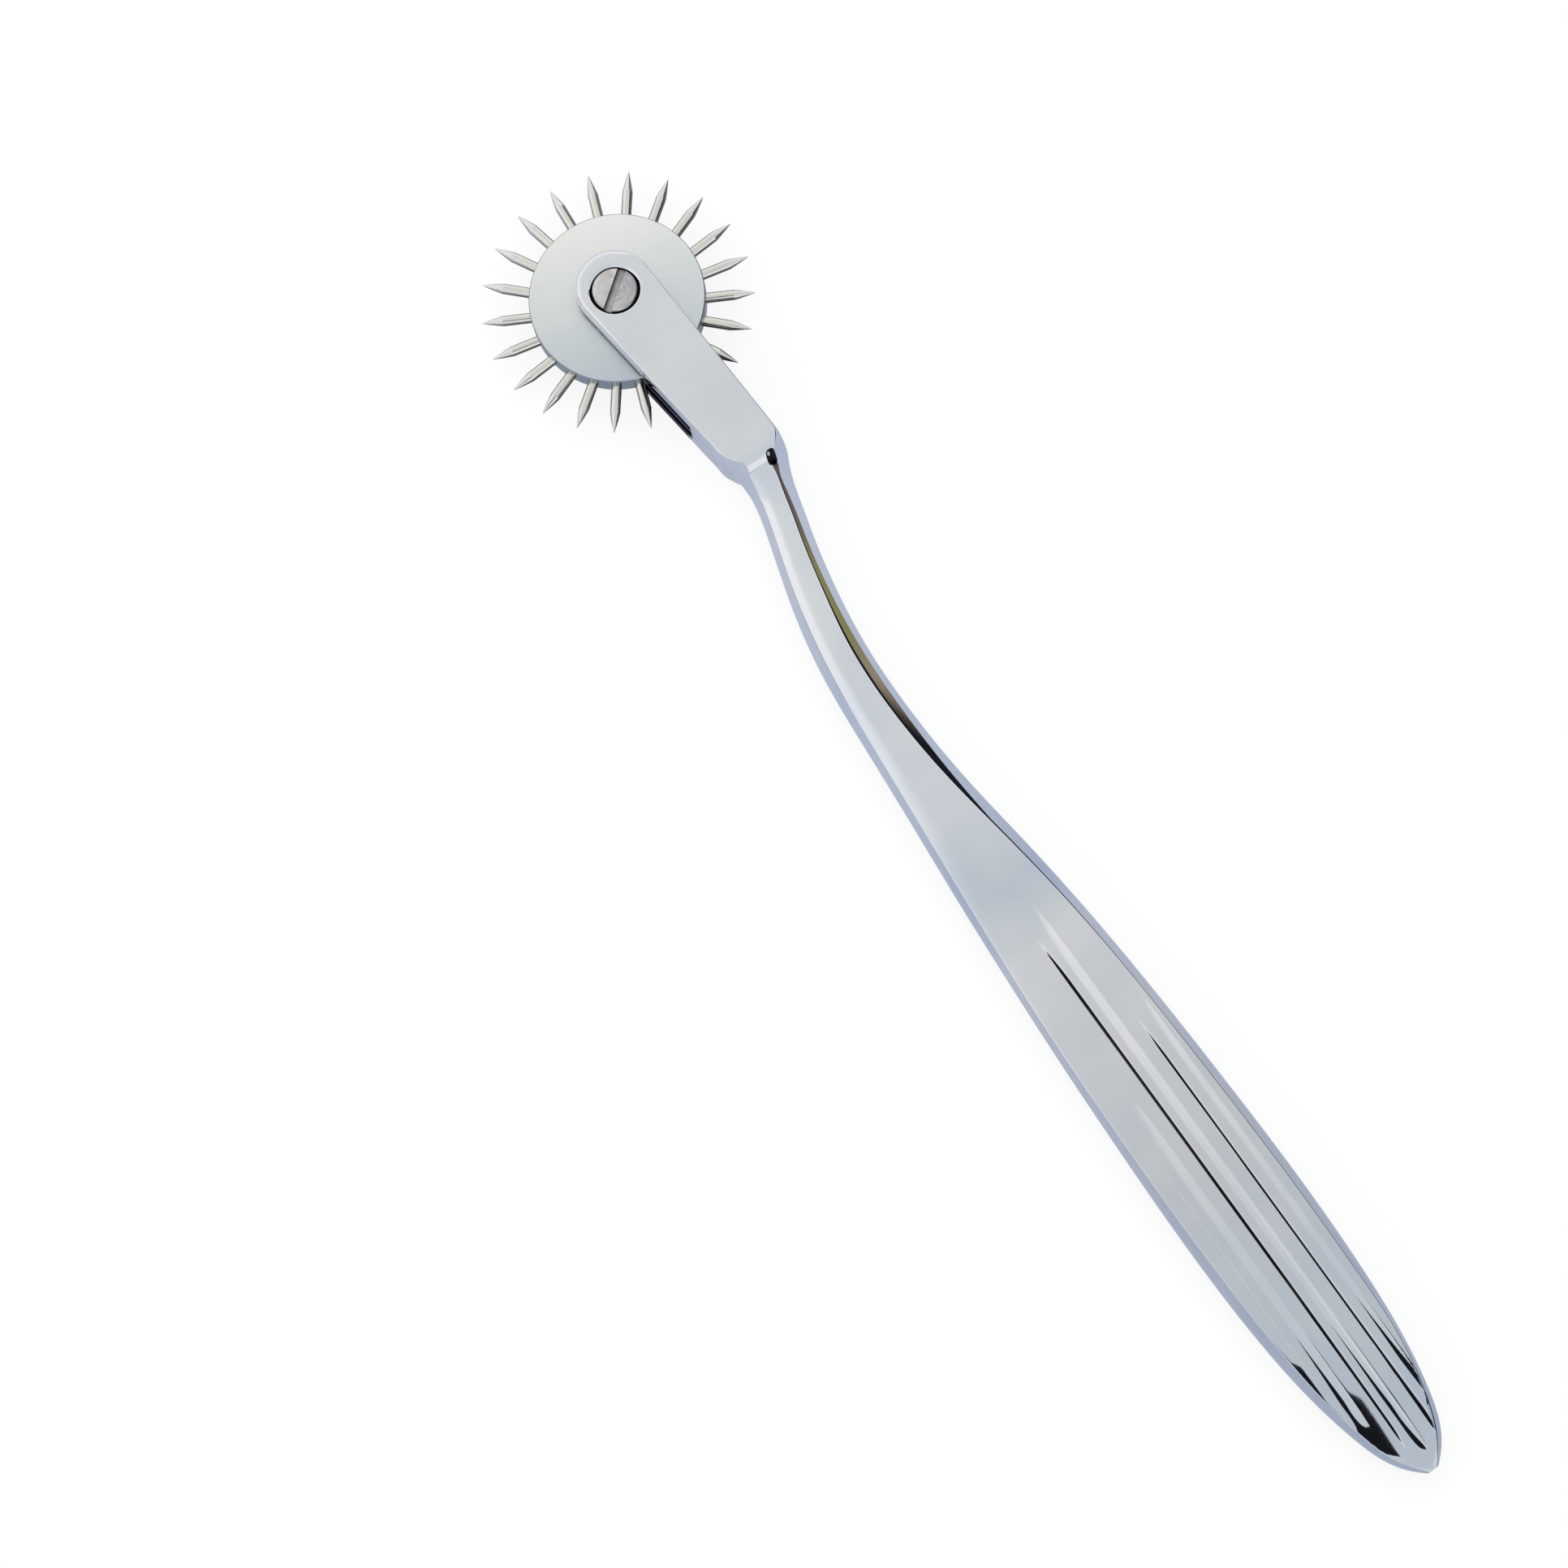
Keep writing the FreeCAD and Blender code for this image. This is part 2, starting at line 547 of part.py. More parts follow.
for item in doc.Objects:
    if "Invalid" in item.State or "Error" in item.State:
        raise RuntimeError("%s failed: %s" % (item.Name, item.State))
os.makedirs("parts", exist_ok=True)
for piece in pieces:
    shape = piece.Shape
    if shape.isNull() or not shape.isValid() or len(shape.Solids) != 1:
        raise RuntimeError(piece.Label + " is not one valid solid")
for piece in pieces:
    piece.Shape.exportStep("parts/%s.step" % piece.Label)
    print("%-12s %9.2f mm3" % (piece.Label, piece.Shape.Volume))
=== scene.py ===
"""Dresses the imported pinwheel: the polished handle as one smooth surface, finishes for the
wheel, its pins and the axle screw, and a pale studio round them."""

import json
import math

import bmesh
import bpy
import numpy as np
from bpy.props import FloatProperty, FloatVectorProperty, PointerProperty
from mathutils import Matrix, Vector


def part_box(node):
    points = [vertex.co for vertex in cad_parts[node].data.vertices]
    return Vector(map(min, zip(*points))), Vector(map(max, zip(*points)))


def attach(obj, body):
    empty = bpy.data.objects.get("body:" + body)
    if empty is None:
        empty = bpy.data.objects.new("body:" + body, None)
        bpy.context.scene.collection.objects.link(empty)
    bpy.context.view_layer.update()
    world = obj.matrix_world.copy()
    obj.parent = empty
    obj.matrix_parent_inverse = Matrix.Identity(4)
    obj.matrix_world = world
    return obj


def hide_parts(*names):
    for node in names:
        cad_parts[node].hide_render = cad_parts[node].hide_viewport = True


bl_info = {
    "name": "Pinwheel looks",
    "version": (1, 0, 0),
    "blender": (4, 5, 0),
    "location": "View3D > Sidebar > Pinwheel",
    "description": "Surfaces, finishes and studio for a neurological pinwheel",
    "category": "Object",
}

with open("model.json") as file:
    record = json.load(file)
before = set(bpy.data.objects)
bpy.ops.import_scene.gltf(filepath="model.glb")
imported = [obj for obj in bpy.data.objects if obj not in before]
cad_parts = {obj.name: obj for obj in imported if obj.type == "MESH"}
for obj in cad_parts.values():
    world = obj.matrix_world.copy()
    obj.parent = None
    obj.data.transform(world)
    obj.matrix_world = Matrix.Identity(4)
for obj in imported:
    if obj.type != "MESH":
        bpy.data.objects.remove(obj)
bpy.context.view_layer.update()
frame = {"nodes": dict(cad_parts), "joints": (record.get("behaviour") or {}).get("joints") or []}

MM = 0.001
MIDDLE = frame["joints"][0]["pos_m"][2] / MM
FORK_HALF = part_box("handle")[1][2] / MM - MIDDLE
TIP_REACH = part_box("handle")[1][0] / MM
HEAD_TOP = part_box("axle_screw")[1][2] / MM - MIDDLE

# The ear's nose and the fork's block, in millimetres from the wheel's axis.
NOSE = np.array([-0.6, 0.2])
NOSE_RADIUS = 4.5
SLOT_HALF = 2.1
SLOT_FLOOR = 18.2
EAR_JOIN = 6.0
BLOCK_UPPER = np.array([26.2, 5.82])
BLOCK_LOWER = np.array([23.6, -1.5])
STRAIGHT_FADE = (19.6, 23)
BEND_START = 25.1
BEND_END = 27.15
BEND_ROUND = 0.06
RING_CENTRE = (0.828, -0.140)

# The widths of the polished round along the ear's edges. The lower one grows between two
# places towards the nose.
LOWER_EDGE = 0.30
LOWER_EDGE_GROWTH = 0.34
LOWER_EDGE_GROWS = (9.0, -1.0)
UPPER_EDGE = 0.20

# Places along the fork where the handle's values are set from its straight edges.
FORK_PLACES = [EAR_JOIN, 10, 14, 18, 20.5]

# The handle behind the ears. Each row gives the place along X, the lower and the upper edge of
# the outline, the half thickness, how far the lower and the upper crease of a broad face lie
# in from the outline, how far below the face's middle they lie, and how square the side is.
# Up to the bend's end the half thickness is the neck's, which the block stands above.
HANDLE_ROWS = np.array([
    (22.4, None, None, 3.52, 0.36, 0.20, 0.00, 1.00),
    (23.6, -1.54, None, 3.52, 0.38, 0.24, 0.00, 0.90),
    (24.6, -1.22, 5.80, 3.52, 0.42, 0.42, 0.02, 0.55),
    (25.4, -1.03, 5.82, 3.52, 0.78, 0.80, 0.04, 0.22),
    (26.1, -0.96, 5.74, 3.52, 1.15, 1.20, 0.07, 0.05),
    (26.7, -0.95, 5.56, 3.50, 1.22, 1.70, 0.11, 0.00),
    (27.4, -0.95, 5.22, 3.42, 1.02, 2.10, 0.16, 0.00),
    (28.6, -0.98, 4.66, 3.20, 0.82, 1.85, 0.23, 0.00),
    (30.5, -1.27, 3.98, 2.88, 0.75, 1.58, 0.28, 0.00),
    (33.5, -2.05, 3.15, 2.62, 0.76, 1.50, 0.30, 0.00),
    (37.0, -3.10, 2.20, 2.53, 0.77, 1.50, 0.30, 0.00),
    (42.0, -4.55, 1.07, 2.50, 0.83, 1.55, 0.30, 0.00),
    (50.0, -6.25, -0.17, 2.54, 0.90, 1.85, 0.30, 0.00),
    (60.0, -7.26, -0.56, 2.61, 0.70, 1.95, 0.30, 0.00),
    (70.0, -8.02, -0.04, 2.74, 0.60, 1.75, 0.30, 0.00),
    (80.0, -8.85, 1.15, 2.93, 0.55, 1.50, 0.30, 0.00),
    (90.0, -9.55, 2.19, 3.11, 0.45, 1.28, 0.30, 0.00),
    (102.0, -10.22, 2.98, 3.26, 0.38, 1.20, 0.30, 0.00),
    (115.0, -10.71, 3.47, 3.36, 0.50, 1.22, 0.30, 0.00),
    (129.0, -10.95, 3.71, 3.40, 0.68, 1.20, 0.30, 0.00),
    (141.0, -10.59, 3.41, 3.23, 0.75, 1.00, 0.30, 0.00),
    (149.9, -9.63, 2.62, 2.82, 0.62, 0.62, 0.37, 0.00),
    (156.0, -8.34, 1.46, 2.28, 0.52, 0.66, 0.36, 0.00),
    (160.0, -6.87, 0.06, 1.67, 0.46, 0.70, 0.26, 0.00),
    (162.3, -5.18, -1.58, 1.02, 0.36, 0.50, 0.13, 0.00),
    (163.3, -4.10, -2.64, 0.54, 0.20, 0.30, 0.05, 0.00),
], dtype=float)

# Where each run of even steps along the handle starts, and how many steps it has. They are
# closest within BEND_DENSE of the bend's end, and those of the run to the tip shrink.
BEND_DENSE = 0.3
RUNS = [
    (EAR_JOIN, 9), (SLOT_FLOOR, 8), (22.8, 25), (BEND_END - BEND_DENSE, 16),
    (BEND_END + BEND_DENSE, 23), (31, 23), (44, 51), (92, 67),
]
TIP_RUN_START = 146
TIP_RUN_STEPS = 48

# Steps of the grid round one section: up the side in the slot's height, on to the crease,
# round the crease, and across the broad face.
SIDE_LOW = 4
SIDE_HIGH = 14
CREASE = 6
ACROSS = 96
LOW_SHARE = SLOT_HALF / FORK_HALF

# How far above a plain side's power a square side's lies.
SQUARE_RISE = 16

# Edges of the handle's mesh that turn by more than this, in degrees, are shaded sharp.
SHARP_TURN = 38

# The length over which a crease is softened to each side, on a plain side and on a square
# one, the share that the bend takes off it and where, and the run at the tip over which it
# fades, which ends TIP_MARGIN past the tip.
SOFT_CREASE = 0.13
SHARP_CREASE = 0.006
BEND_SHARPER = 0.7
SHARPER_IN = (24.2, 26.0)
SHARPER_OUT = (27.4, 30.0)
TIP_MARGIN = 0.8
TIP_FADE = 4

# The lines along the grip that the face's columns follow, and how closely they do.
FIRST_LINE = 2.5
LAST_LINE = -10.2
LINE_HOLD = 0.75
LINE_HOLD_FROM = (76, 100)
LINE_BLUR = 0.05

# The three grooves from the lower to the upper: where each starts and ends along X, and its
# depth as a share of the full one. Each deepens over GROOVE_RISE and runs out over GROOVE_FALL.
GROOVES = [(108, 159, 0.88), (83, 164, 1.22), (96, 164, 0.93)]
GROOVE_RISE = 14
GROOVE_FALL = 7
GROOVE_LIP_FADE = 0.2

# The round of the nose: bearings in degrees where it swells, where it thins again and where
# its width passes from the upper edge's to the lower edge's, and by how much it swells.
SWELL_IN = (106, 142)
SWELL_OUT = (190, 275)
WIDTH_PASSES = (100, 255)
SWELL_WIDTH = 1.30
SWELL_SLOPE = 0.10
NOSE_STEPS = 60
NOSE_EDGE_STEPS = 10
NOSE_TURN_RUN = 5

# The bores for the axle screw, the round at the mouth of each, and the worn stretch of the
# counterbore's rim: its bearing in degrees, the cosines between which it grows, and its
# width. RIM_LIP gives how far out from the rim and down from the face its lip lies.
FRONT_BORE = 1.52
REAR_BORE = 1.27
RIM_RADIUS = 2.98
HEAD_HEIGHT = 1.1
RIM_ROUND = 0.17
RIM_LIP = (0.03, 0.05)
RIM_DROP = 0.12
REAR_ROUND = 0.08
WORN_BEARING = 161
WORN_SPREAD = (-0.1, 0.9)
WORN_WIDTH = 0.22
RING_SHARES = (0, 0.04, 0.5, 0.96, 1)


# Curves and grids

def spline(places, values, at):
    """A natural cubic spline: between two places the value is the cubic whose slope and
    curvature meet those of its neighbours, with no curvature at either end."""
    step = np.diff(places)
    count = len(places)
    rows = np.arange(1, count - 1)
    system = np.eye(count)
    system[rows, rows - 1] = step[:-1]
    system[rows, rows] = 2 * (step[:-1] + step[1:])
    system[rows, rows + 1] = step[1:]
    slope = np.diff(values) / step
    right = np.zeros(count)
    right[1:-1] = 6 * np.diff(slope)
    bend = np.linalg.solve(system, right)
    index = np.clip(np.searchsorted(places, at, side="right") - 1, 0, count - 2)
    before, after, width = at - places[index], places[index + 1] - at, step[index]
    cubic = (bend[index] * after ** 3 + bend[index + 1] * before ** 3) / (6 * width)
    low = values[index] / width - bend[index] * width / 6
    high = values[index + 1] / width - bend[index + 1] * width / 6
    return cubic + low * after + high * before


def ease(value, low, high):
    """0 below low, 1 above high, and the s-shaped cubic 3t^2 - 2t^3 between."""
    share = np.clip((value - low) / (high - low), 0, 1)
    return share * share * (3 - 2 * share)


def fill(edge_a, edge_b):
    """A grid of straight lines, each from a point of one edge to its mate on the other."""
    across = np.linspace(0, 1, ACROSS + 1)
    return edge_a[:, None] + (edge_b - edge_a)[:, None] * across[:, None]


def grid_faces(rows, columns, first=0, close_columns=False):
    """The quads of a grid of points numbered row by row from first."""
    numbers = np.arange(rows * columns).reshape(rows, columns) + first
    if close_columns:
        numbers = np.hstack([numbers, numbers[:, :1]])
    quads = [numbers[:-1, :-1], numbers[1:, :-1], numbers[1:, 1:], numbers[:-1, 1:]]
    return np.stack(quads, axis=-1).reshape(-1, 4)


class Skin:
    """Collects grids of points in millimetres, and makes one closed mesh of them."""

    MERGE_DISTANCE = 2e-7

    def __init__(self):
        self.points = []
        self.faces = []
        self.count = 0

    def add(self, grid, close_columns=False):
        rows, columns = grid.shape[:2]
        self.faces.append(grid_faces(rows, columns, self.count, close_columns))
        self.points.append(grid.reshape(-1, 3))
        self.count += rows * columns

    def finish(self, name, body, slot, sharp):
        points = np.vstack(self.points) * MM + np.array([0, 0, MIDDLE * MM])
        mesh = bpy.data.meshes.new(name)
        mesh.from_pydata(points.tolist(), [], np.vstack(self.faces).tolist())
        work = bmesh.new()
        work.from_mesh(mesh)
        bmesh.ops.remove_doubles(work, verts=work.verts, dist=self.MERGE_DISTANCE)
        bmesh.ops.dissolve_degenerate(work, edges=work.edges, dist=self.MERGE_DISTANCE)
        bmesh.ops.recalc_face_normals(work, faces=work.faces)
        loose = sum(not edge.is_manifold for edge in work.edges)
        if loose:
            raise RuntimeError("%s isn't closed: %d open edges" % (name, loose))
        work.to_mesh(mesh)
        work.free()
        mesh.shade_smooth()
        mesh.set_sharp_from_angle(angle=sharp)
        piece = bpy.data.objects.new(name, mesh)
        bpy.context.scene.collection.objects.link(piece)
        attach(piece, body)
        return piece


# The handle's outline

def tangent_point(corner, upper):
    """Where the straight edge from a block corner touches the nose's circle."""
    away = corner - NOSE
    turn = math.acos(NOSE_RADIUS / np.hypot(*away))
    angle = math.atan2(away[1], away[0]) + (turn if upper else -turn)
    return NOSE + NOSE_RADIUS * np.array([math.cos(angle), math.sin(angle)]), angle


def edge_line(corner, upper, x):
    """Height of the fork's straight upper or lower edge at x."""
    start = tangent_point(corner, upper)[0]
    return start[1] + (x - start[0]) * (corner[1] - start[1]) / (corner[0] - start[0])


LOW_TOUCH = tangent_point(BLOCK_LOWER, False)[0]
LOWER_SLOPE = float((BLOCK_LOWER - LOW_TOUCH)[1] / (BLOCK_LOWER - LOW_TOUCH)[0])
LOWER_START = float(LOW_TOUCH[1] - LOWER_SLOPE * LOW_TOUCH[0])


def edge_widths(x):
    """Widths of the polished round along the ear's lower and upper edge."""
    start, end = LOWER_EDGE_GROWS
    lower = LOWER_EDGE + LOWER_EDGE_GROWTH * ease(-x, -start, -end)
    return lower, np.full(len(x), UPPER_EDGE)


def handle_stations():
    """Places along X: even steps, closer at the shoulders and towards the tip."""
    ends = [start for start, count in RUNS[1:]] + [TIP_RUN_START]
    runs = [np.linspace(start, end, count, endpoint=False)
            for (start, count), end in zip(RUNS, ends)]
    slowing = 1 - (1 - np.linspace(0, 1, TIP_RUN_STEPS + 1)) ** 2
    return np.concatenate(runs + [TIP_RUN_START + (TIP_REACH - TIP_RUN_START) * slowing])


def handle_values(x):
    """The columns of HANDLE_ROWS at x, with the fork's straight edges before them. Over the
    bend the block's height above the neck shrinks as 1 - t^3, and a smooth maximum
    (a + b + sqrt((a - b)^2 + e^2)) / 2 joins it to the neck."""
    fork = len(FORK_PLACES)
    places = np.concatenate([FORK_PLACES, HANDLE_ROWS[:, 0]])
    table = np.vstack([np.full((fork, HANDLE_ROWS.shape[1] - 1), np.nan), HANDLE_ROWS[:, 1:]])
    for column, (corner, is_upper) in enumerate(((BLOCK_LOWER, False), (BLOCK_UPPER, True))):
        table[:, column] = np.where(np.isnan(table[:, column]),
                                    edge_line(corner, is_upper, places), table[:, column])
    table[:fork, 2] = HANDLE_ROWS[0, 3]
    table[:fork, 3], table[:fork, 4] = edge_widths(places[:fork])
    table[:fork, 5] = 0
    table[:fork, 6] = 1
    lower, upper, thick, lower_in, upper_in, sink, square = [
        spline(places, column, x) for column in table.T]
    straight = 1 - ease(x, *STRAIGHT_FADE)
    lower = lower + (edge_line(BLOCK_LOWER, False, x) - lower) * straight
    upper = upper + (edge_line(BLOCK_UPPER, True, x) - upper) * straight
    bend = np.clip((x - BEND_START) / (BEND_END - BEND_START), 0, None)
    block = thick + (FORK_HALF - thick) * (1 - bend ** 3)
    joined = (block + thick + np.sqrt((block - thick) ** 2 + BEND_ROUND ** 2)) / 2
    thick = np.where(x < BEND_START, FORK_HALF, np.minimum(joined, FORK_HALF))
    sink = np.where(x < HANDLE_ROWS[0, 0], 0, np.clip(sink, 0, None))
    return lower, upper, thick, lower_in, upper_in, sink, np.clip(square, 0, 1)


# The handle's sections

def side_profile(inset, crease_z, square, soft, face_rise=0.0):
    """From the fork's slot level over the side to just past the crease. With t as the share
    of the crease's height, the way in from the outline is inset * (1 - (1 - t^q)^(1/p)). A
    plain side has p = 1 and q = 2, a bulge that meets the face at a crease, and a square one
    p = 2 and a high q, a flat wall with a round at the face. The crease itself is the
    quadratic Bezier curve over a length soft to each side, and the face rises by face_rise
    over that length. Returns the way in and the height."""
    inset, crease_z, square, soft, face_rise = [
        np.asarray(value, float)[..., None]
        for value in (inset, crease_z, square, soft, face_rise)]
    power = 1 / (1 + square)
    rise = 2 + SQUARE_RISE * square

    def way_in(t):
        return inset * (1 - (1 - np.clip(t, 0, 1) ** rise) ** power)

    end = 1 - soft / crease_z
    low = np.linspace(0, 1, SIDE_LOW + 1)[:-1] * LOW_SHARE + 0 * inset
    high = end - (end - LOW_SHARE) * (1 - np.linspace(0, 1, SIDE_HIGH + 1)) ** 2
    t = np.concatenate([low, high], axis=-1)
    step = np.linspace(0, 1, CREASE + 1)[1:]
    at_side, at_face = way_in(end), inset + soft
    turn_in = (1 - step) ** 2 * at_side + 2 * step * (1 - step) * inset + step ** 2 * at_face
    turn_z = crease_z - (1 - step) ** 2 * crease_z * (1 - end) + step ** 2 * face_rise
    return (np.concatenate([way_in(t), turn_in], axis=-1),
            np.concatenate([crease_z * t, turn_z], axis=-1))


def groove_hollow(x, y, settings):
    """Depth of the three grooves at x, y: depth * (1 - s^2) across each, s being the distance
    from its middle line over its half width, with lips rounded by a smooth maximum."""
    hollow = np.zeros(np.broadcast(x, y).shape)
    lip = settings.groove_lip / MM
    for index, (start, end, share) in enumerate(GROOVES):
        middle = settings.grip_middle / MM + (index - 1) * settings.groove_pitch / MM
        fade = ease(x, start, start + GROOVE_RISE) * (1 - ease(x, end - GROOVE_FALL, end))
        fade = share * fade
        s = (y - middle) / (settings.groove_width / MM / 2)
        shape = settings.groove_depth / MM * fade * (1 - s * s)
        near = np.clip(lip - np.abs(shape), 0, None) / lip
        rounding = near * near * lip / 4 * ease(fade, 0, GROOVE_LIP_FADE)
        hollow = np.maximum(hollow, np.maximum(shape, 0) + rounding)
    return hollow


def column_shares(x, start, end):
    """How far across the face each column of the grid lies. On the grip the columns mostly
    follow fixed lines along X, so that the grooves run with the grid. A line's share u of
    the way is held between the face's edges by the smooth clamp
    b * log(1 + exp(u / b)) - b * log(1 + exp((u - 1) / b))."""
    share = np.linspace(0, 1, ACROSS + 1)
    lines = FIRST_LINE + (LAST_LINE - FIRST_LINE) * share
    place = (start[:, None] - lines) / (start - end)[:, None]
    held = LINE_BLUR * (np.logaddexp(0, place / LINE_BLUR)
                        - np.logaddexp(0, (place - 1) / LINE_BLUR))
    held = (held - held[:, :1]) / (held[:, -1:] - held[:, :1])
    return share + (held - share) * (LINE_HOLD * ease(x, *LINE_HOLD_FROM))[:, None]


def handle_half(settings):
    """One half of the swept surface, from the middle plane up: a row of sections along X, each
    going up one side, across the broad face and down the other side. The face is crowned by
    the parabola 4 * a * b / (a + b)^2, with a and b the distances to its two creases."""
    x = handle_stations()
    lower, upper, thick, lower_in, upper_in, sink, square = handle_values(x)
    crease_z = thick - sink
    sharper = 1 - BEND_SHARPER * ease(x, *SHARPER_IN) * (1 - ease(x, *SHARPER_OUT))
    soft = np.clip(SOFT_CREASE * (1 - square), SHARP_CREASE, None) * sharper
    soft = soft * ease(TIP_REACH + TIP_MARGIN - x, 0, TIP_FADE)
    span = upper - upper_in - lower - lower_in
    rise = sink * 4 * soft * (span - soft) / span ** 2
    up_in, up_z = side_profile(upper_in, crease_z, square, soft, rise)
    down_in, down_z = side_profile(lower_in, crease_z, square, soft, rise)
    start, end = upper - up_in[:, -1], lower + down_in[:, -1]
    face_y = start[:, None] + (end - start)[:, None] * column_shares(x, start, end)
    top, bottom = (upper - upper_in)[:, None], (lower + lower_in)[:, None]
    crown = 4 * (top - face_y) * (face_y - bottom) / (top - bottom) ** 2
    face_z = crease_z[:, None] + sink[:, None] * crown
    face_z = face_z - groove_hollow(x[:, None], face_y, settings)
    up_z[:, -1], down_z[:, -1] = face_z[:, 0], face_z[:, -1]
    y = np.hstack([upper[:, None] - up_in, face_y[:, 1:-1], (lower[:, None] + down_in)[:, ::-1]])
    z = np.hstack([up_z, face_z[:, 1:-1], down_z[:, ::-1]])
    return x, y, z


# The ears and their bores

def nose_path():
    """The ear's outline as an open path from the upper edge round the nose to the lower edge,
    with the direction inwards and the width and swell of the polished round along it."""
    top, top_angle = tangent_point(BLOCK_UPPER, True)
    low, low_angle = tangent_point(BLOCK_LOWER, False)
    low_angle = low_angle + 2 * math.pi
    turn = np.linspace(top_angle, low_angle, NOSE_STEPS + 1)
    along = 1 - np.linspace(0, 1, NOSE_EDGE_STEPS + 1)[:-1]
    upper_x = top[0] + (EAR_JOIN - top[0]) * along
    lower_x = (low[0] + (EAR_JOIN - low[0]) * along)[::-1]
    upper = np.stack([upper_x, edge_line(BLOCK_UPPER, True, upper_x)], axis=-1)
    lower = np.stack([lower_x, edge_line(BLOCK_LOWER, False, lower_x)], axis=-1)
    arc = NOSE + NOSE_RADIUS * np.stack([np.cos(turn), np.sin(turn)], axis=-1)
    path = np.vstack([upper, arc, lower])
    heading = np.concatenate([np.full(NOSE_EDGE_STEPS, top_angle), turn,
                              np.full(NOSE_EDGE_STEPS, low_angle)])
    inward = -np.stack([np.cos(heading), np.sin(heading)], axis=-1)
    straight = np.stack([0 * heading, -np.sign(np.sin(heading))], axis=-1)
    share = ease(EAR_JOIN - path[:, 0], 0, NOSE_TURN_RUN)[:, None]
    inward = straight + (inward - straight) * share
    inward = inward / np.linalg.norm(inward, axis=1, keepdims=True)
    lower_width, upper_width = edge_widths(path[:, 0])
    swell = ease(heading, *np.radians(SWELL_IN)) * (1 - ease(heading, *np.radians(SWELL_OUT)))
    width = upper_width + (lower_width - upper_width) * ease(heading, *np.radians(WIDTH_PASSES))
    return path, inward, width + SWELL_WIDTH * swell, swell


def bore_rings(side, outer, under):
    """Loops from the edge of the ear's broad face over the bore's mouth, down its wall and out
    to the edge of the slot's wall. The front ear has the counterbore of the screw's head too,
    whose rim is worn wider on one side."""
    angle = np.arctan2(outer[:, 1], outer[:, 0])
    circle = np.stack([np.cos(angle), np.sin(angle)], axis=-1)

    def loop(radius, level):
        return np.column_stack([circle * radius, np.full(len(circle), side * level)])

    if side > 0:
        seat = HEAD_TOP - HEAD_HEIGHT
        worn = ease(np.cos(angle - math.radians(WORN_BEARING)), *WORN_SPREAD)[:, None]
        wall = RIM_RADIUS - WORN_WIDTH * worn
        mouth = loop(RIM_RADIUS + RIM_ROUND, FORK_HALF)
        down = [loop(RIM_RADIUS + RIM_LIP[0], FORK_HALF - RIM_LIP[1]),
                loop(wall, FORK_HALF - RIM_DROP), loop(wall, seat), loop(FRONT_BORE, seat),
                loop(FRONT_BORE, SLOT_HALF)]
    else:
        mouth = loop(REAR_BORE + REAR_ROUND, FORK_HALF)
        down = [loop(REAR_BORE, FORK_HALF - REAR_ROUND), loop(REAR_BORE, SLOT_HALF)]
    face = [outer + (mouth - outer) * share for share in RING_SHARES]
    return face + down + [down[-1] + (under - down[-1]) * share for share in RING_SHARES[1:]]


def add_ear_end(skin, side, face_join, slot_join):
    """The round end of one ear: its edge profile carried round the nose, and its broad face
    and slot wall with the bore between them. The joins are the swept surface's first rows."""
    path, inward, width, swell = nose_path()
    way_in, height = side_profile(width, np.full(len(width), FORK_HALF), 1 - SWELL_SLOPE * swell,
                                  SHARP_CREASE + 0 * width)
    way_in, height = way_in[:, SIDE_LOW:], height[:, SIDE_LOW:]
    flat = path[:, None] + inward[:, None] * way_in[..., None]
    skin.add(np.concatenate([flat, side * height[..., None]], axis=-1))
    edge = SIDE_LOW + way_in.shape[1] - 1
    outer = np.vstack([np.column_stack([flat[:, -1], side * height[:, -1]]),
                       face_join[edge:-edge][::-1][1:-1]])
    under = np.vstack([np.column_stack([flat[:, 0], side * height[:, 0]]),
                       slot_join[::-1][1:-1]])
    skin.add(np.stack(bore_rings(side, outer, under)), close_columns=True)


def slot_floor(section_y):
    """The slot's floor, between the parts of a section's two sides that lie in the slot."""
    levels = np.linspace(-1, 1, 2 * SIDE_LOW + 1) * SLOT_HALF
    edges = []
    for side in (section_y, section_y[::-1]):
        half = side[:SIDE_LOW + 1]
        across = np.concatenate([half[::-1], half[1:]])
        edges.append(np.column_stack([np.full(len(levels), SLOT_FLOOR), across, levels]))
    return fill(*edges)


def make_handle_skin(settings):
    """The handle as one closed surface: two mirrored halves swept along X, ears whose edge
    profile follows their outline, and the bores for the axle screw."""
    skin = Skin()
    x, y, z = handle_half(settings)
    block = int(np.argmin(np.abs(x - SLOT_FLOOR)))
    for side in (1, -1):
        grid = np.stack([x[:, None] + 0 * y, y, side * z], axis=-1)
        skin.add(grid[block:])
        skin.add(grid[:block + 1, SIDE_LOW:-SIDE_LOW])
        inner = fill(grid[:block + 1, SIDE_LOW], grid[:block + 1, -1 - SIDE_LOW])
        skin.add(inner)
        add_ear_end(skin, side, grid[0], inner[0])
    skin.add(slot_floor(y[block]))
    tip = np.stack([np.full(len(y[-1]), x[-1]), y[-1], z[-1]], axis=-1)
    skin.add(np.stack([tip, tip * np.array([1, 1, 0.0]), tip * np.array([1, 1, -1.0])]))
    return skin


# Node webs

def colour4(value):
    """A colour with full alpha."""
    return (*value, 1.0)


